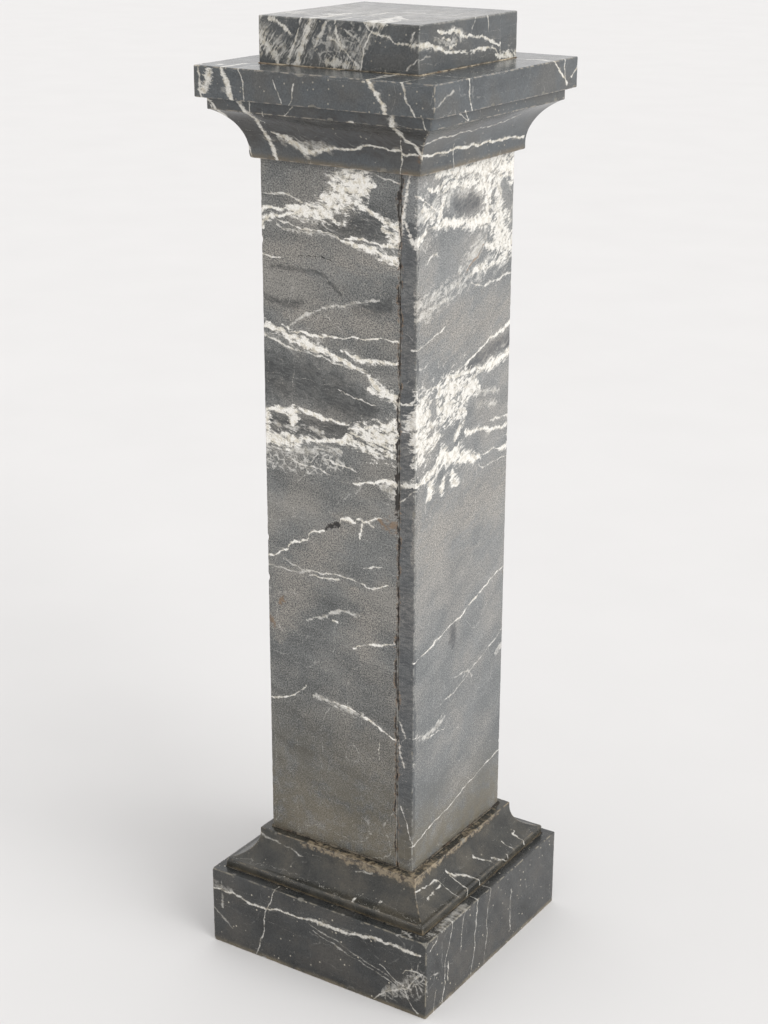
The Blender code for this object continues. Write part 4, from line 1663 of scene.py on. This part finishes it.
def hidden_veins(face: Face, seed: int) -> tuple[Vein, ...]:
    """The plainer veins of a slab that the photograph's side doesn't show.

    Args:
        face: the slab's face.
        seed: seed of how far they lie from their usual places, and of the way that they lean.

    Returns:
        The veins.
    """
    draw = random.Random(seed)
    way = draw.choice((-1, 1))
    veins = []
    for kind, name, widths, *path in HIDDEN_SLAB_MARKS:
        lift = draw.uniform(-34, 26)
        lean = draw.uniform(-0.16, 0.16)
        turned = tuple((way * across, height + lift + lean * across) for across, height in path)
        veins.append(Vein(name, face, kind, widths, turned))
    return tuple(veins)


def carried_round(veins: tuple[Vein, ...], half: float, seed: int) -> tuple[Vein, ...]:
    """Carries the veins that reach a far arris on over the hidden side beyond it.

    Args:
        veins: the veins of the sides that show.
        half: the stone's half width in mm.
        seed: seed of the way that they wander.

    Returns:
        The veins with their continuations.
    """
    draw = random.Random(seed)
    beyond = {RIGHT: (BACK, 1, 1), FRONT: (LEFT, -1, -1)}
    added = []
    for vein in veins:
        if vein.face not in beyond or vein.kind in (SHADE, STAIN, PIT):
            continue
        face, far, start = beyond[vein.face]
        for across, height in (vein.path[0], vein.path[-1]):
            if far * across < half - CARRIED_WITHIN:
                continue
            across = start * half
            path = [(across, height)]
            for _ in range(CARRIED_STEPS):
                across -= start * draw.uniform(18, 46)
                height += draw.uniform(-7, 9)
                path.append((across, height))
            name = vein.name + " carried round"
            added.append(Vein(name, face, vein.kind, (vein.widths[1], CARRIED_END), tuple(path)))
    return veins + tuple(added)


# Dry-rubbed, weathered marble: a mid grey with salt-and-pepper grain, browned low down, and darker still
# towards the foot as painted shade. The right slab's copy has a lighter ground that is partly painted sheen.
WEATHERED_FRONT = MarbleFinish(
    dark="3d3f3f", light="8c8d8b", warm="918e88", cloud=1.2, cloud_size=85.0, strata=0.9, grain=3.4,
    hairlines=0.25, flecks=0.2, roughness=0.56, roughness_spread=0.2, relief=0.12, foot_stain=230.0,
    painted_foot_shade=0.2, stain="5f5641", shade="2c2e2f", vein="f4f1ea", warm_vein="d8d1c1", between="535150",
    ragged=0.78, wander=0.6)
# The right slab's own grey, with its ground lightened as painted sheen
WEATHERED_RIGHT_WITH_PAINTED_SHEEN = MarbleFinish(
    dark="4f5253", light="8f908f", warm="94918c", cloud=1.0, cloud_size=85.0, strata=0.8, grain=3.6,
    hairlines=0.3, flecks=0.2, roughness=0.42, roughness_spread=0.2, relief=0.07, foot_stain=120.0,
    painted_foot_shade=0.28, stain="5f5641", shade="313438", vein="dedbd4", warm_vein="c2bcb0", dust="9f9a92",
    between="5f5d5a", ragged=0.82, wander=0.6)
# Honed to a dull shine: nearly black, with faint grey clouds
HONED_PLINTH = MarbleFinish(
    dark="131414", light="444646", warm="464440", cloud=1.6, cloud_size=50.0, strata=0.9, grain=1.4,
    hairlines=0.14, flecks=0.95, roughness=0.27, roughness_spread=0.3, relief=0.05, foot_stain=8.0,
    stain="83775f", vein="cfccc5", warm_vein="b4ad9e", rubbed="8d8677", ragged=0.55, wander=0.52)
HONED_BASE = MarbleFinish(
    dark="141413", light="42423d", warm="4b473e", cloud=1.8, cloud_size=45.0, strata=0.8, grain=1.3,
    grain_size=1.7, hairlines=0.1, flecks=0.5, roughness=0.27, roughness_spread=0.3, relief=0.06,
    foot_stain=4.0, vein="cfccc5", warm_vein="b4ad9e", rubbed="8b7d68", earth="94866f", ragged=0.7,
    wander=0.55)
# Polished and kept clean: blue-black, mirrors the light at a shallow angle. The cap's shade colour is the
# painted shade in its cove, and the top block's dust colours are a painted sheen on its top.
POLISHED_CAP = MarbleFinish(
    dark="2d3032", light="63686b", warm="5a5a58", cloud=1.1, cloud_size=60.0, strata=0.7, grain=1.1,
    hairlines=0.15, flecks=0.45, roughness=0.22, roughness_spread=0.2, relief=0.03, foot_stain=8.0,
    shade="292522", vein="d6d3cb", warm_vein="bbb3a2", rubbed="a2998a", earth="66523f", ragged=0.55,
    wander=0.5)
POLISHED_TOP = MarbleFinish(
    dark="292c2d", light="5e6264", warm="5b5b59", cloud=1.1, cloud_size=45.0, strata=0.8, grain=1.2,
    hairlines=0.15, flecks=0.5, roughness=0.24, roughness_spread=0.25, relief=0.03, foot_stain=2.0,
    dust="908c85", between="77746f", vein="d0cdc5", warm_vein="b7b0a0", ragged=0.8, wander=0.56)

TAN_MORTAR = MortarFinish(pale="b9ab94", deep="6a6154", rust="7e5a3b", rust_share=0.5)
# Near black: dirt in the plinth's joint, and painted shadow in its groove
BLACK_JOINT_WITH_PAINTED_SHADOW = MortarFinish(pale="4a453c", deep="151412", rust="3a3026", rust_share=0.3)
DARK_JOINT = MortarFinish(pale="655d50", deep="211e1b", rust="54402e", rust_share=0.4)


class Pedestal:
    """The whole column: plinth, base moulding, shaft of four slabs, cap and top block, with their joints."""

    def stones(self) -> list[Stone]:
        """Lists the stones from the floor up."""
        _, plinth_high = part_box("plinth")
        half = plinth_high.x / MM
        chip_at = (half, -half, plinth_high.z / MM)
        cap_low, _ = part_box("cap")
        cap_foot = (-Cap.foot_half, -Cap.foot_half, cap_low.z / MM)
        right = hidden_veins(BACK, 8)[:6]
        return [
            Stone("plinth", HONED_PLINTH, carried_round(PLINTH_VEINS, 150.0, 3), seed=1.0, dip=(0.1, -1.5),
                  chip_size=4.5, chip_depth=1.6, breaks=(Break(chip_at, 7.5, (0.8, 0.9, 1.0)),)),
            BaseMoulding("base_moulding", HONED_BASE, carried_round(BASE_VEINS, 138.0, 5), seed=2.0,
                         dip=(-0.1, -0.6)),
            Slab("shaft_front_slab", WEATHERED_FRONT, FRONT_SLAB_VEINS, overlap=24.0, seed=3.0,
                 dip=(-0.18, 0.0), shown=(0, 2, 3)),
            Slab("shaft_right_slab", WEATHERED_RIGHT_WITH_PAINTED_SHEEN, RIGHT_SLAB_VEINS + right, seed=4.0, dip=(0.0, 0.4),
                 shown=(0, 1, 3)),
            Slab("shaft_back_slab", WEATHERED_RIGHT_WITH_PAINTED_SHEEN, hidden_veins(BACK, 8), overlap=24.0, seed=5.0,
                 shown=(0, 1, 2)),
            Slab("shaft_left_slab", WEATHERED_FRONT, hidden_veins(LEFT, 15), overlap=24.0, seed=6.0,
                 shown=(1, 2, 3)),
            Cap("cap", POLISHED_CAP, carried_round(CAP_VEINS, 145.0, 7), seed=7.0, dip=(-0.3, 0.1),
                chip_size=4.5, breaks=(Break(cap_foot, 5.0, (0.9, 0.9, -1.0)),)),
            Stone("top_block", POLISHED_TOP, carried_round(TOP_BLOCK_VEINS, 97.0, 9), seed=8.0,
                  dip=(1.6, -0.1)),
        ]

    def joints(self) -> list[MortarBead]:
        """Lists the fillings of the joints from the floor up."""
        base_low, base_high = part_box("base_moulding")
        shaft_low, shaft_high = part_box("shaft_right_slab")
        top_low, top_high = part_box("top_block")
        foot = base_high.x / MM
        shaft = shaft_high.x / MM
        top = top_high.x / MM
        return [
            MortarBead("plinth_joint", foot + 0.2, base_low.z / MM + 0.1, 1.2, 0.85, BLACK_JOINT_WITH_PAINTED_SHADOW, 11.0),
            MortarBead("shaft_foot_mortar", shaft + 0.6, shaft_low.z / MM + 0.3, 2.2, 0.9, DARK_JOINT, 5.0),
            MortarBead("cap_joint", shaft + 0.1, shaft_high.z / MM - 0.2, 1.1, 0.9, DARK_JOINT, 23.0),
            MortarBead("top_block_bedding", top + 0.1, top_low.z / MM + 0.1, 0.8, 0.85, TAN_MORTAR, 31.0),
        ]

    def build(self) -> None:
        """Builds every stone and joint."""
        wear = WearTree()
        bead = MortarTree()
        for stone in self.stones():
            stone.build(wear)
        for joint in self.joints():
            joint.build(bead)


@dataclass
class Studio:
    """The floor, the light and the camera."""

    camera_place: tuple[float, float, float] = (1.0870, -1.6781, 1.2588)
    azimuth: float = 33.058
    elevation: float = 19.962
    roll: float = 0.166
    lens: float = 66.058
    floor_half: float = 30.0
    world_strength: float = 1.0
    key_strength: float = 2.4
    key_spread: float = 50.0
    key_from: tuple[float, float, float] = (1.0, -0.12, 0.45)

    def build(self) -> None:
        """Sets everything up."""
        scene = bpy.context.scene
        scene.view_settings.view_transform = "Standard"
        scene.camera = self._camera()
        self._floor()
        self._world()
        self._key()

    def _camera(self) -> bpy.types.Object:
        """Places the camera where the photograph was taken from.

        Returns:
            The camera.
        """
        turn = math.radians(self.azimuth)
        tilt = math.radians(self.elevation)
        roll = math.radians(self.roll)
        back = Vector((math.sin(turn) * math.cos(tilt), -math.cos(turn) * math.cos(tilt), math.sin(tilt)))
        level = Vector((math.cos(turn), math.sin(turn), 0.0))
        upright = back.cross(level)
        right = level * math.cos(roll) + upright * math.sin(roll)
        up = upright * math.cos(roll) - level * math.sin(roll)
        data = bpy.data.cameras.new("camera")
        data.lens = self.lens
        data.sensor_fit = "AUTO"
        data.sensor_width = 36.0
        camera = new_object("camera", data)
        turned = Matrix((right, up, back)).transposed().to_4x4()
        camera.matrix_world = Matrix.Translation(self.camera_place) @ turned
        return camera

    def _floor(self) -> bpy.types.Object:
        """Lays a pale floor that runs out of sight.

        Returns:
            The floor.
        """
        half = self.floor_half
        mesh = bpy.data.meshes.new("floor")
        corners = [(-half, -half, 0), (half, -half, 0), (half, half, 0), (-half, half, 0)]
        mesh.from_pydata(corners, [], [(0, 1, 2, 3)])
        material, add = blank_material("pale matt floor")
        spot = add("ShaderNodeTexCoord", out="Object")
        soft = add(NOISE, {"Vector": spot, "Scale": 4.0, "Detail": 3.0})
        colour = add(MIX, {0: soft, 6: linear("d3d2d1"), 7: linear("d8d7d6")}, COLOURS, 2)
        shader = add("ShaderNodeBsdfPrincipled", {
            "Base Color": colour, "Roughness": 0.95, "Specular IOR Level": 0.2})
        add("ShaderNodeOutputMaterial", {"Surface": shader})
        mesh.materials.append(material)
        return new_object("floor", mesh)

    def _world(self) -> None:
        """Fills the room with an even pale light."""
        world = bpy.data.worlds.new("pale room")
        world.use_nodes = True
        world.node_tree.nodes.clear()
        add = partial(add_node, world.node_tree)
        light = add("ShaderNodeBackground", {
            "Color": linear("fffefe"), "Strength": self.world_strength})
        add("ShaderNodeOutputWorld", {"Surface": light})
        bpy.context.scene.world = world

    def _key(self) -> None:
        """Adds one very soft distant light from the right."""
        data = bpy.data.lights.new("soft key", "SUN")
        data.energy = self.key_strength
        data.angle = math.radians(self.key_spread)
        light = new_object("soft key", data)
        light.rotation_euler = (-Vector(self.key_from)).to_track_quat("-Z", "Y").to_euler()


def main() -> None:
    """Builds the studio and the pedestal."""
    logging.basicConfig(level=logging.INFO, format="%(name)s: %(message)s")
    Studio().build()
    Pedestal().build()


if __name__ == "__main__":
    main()
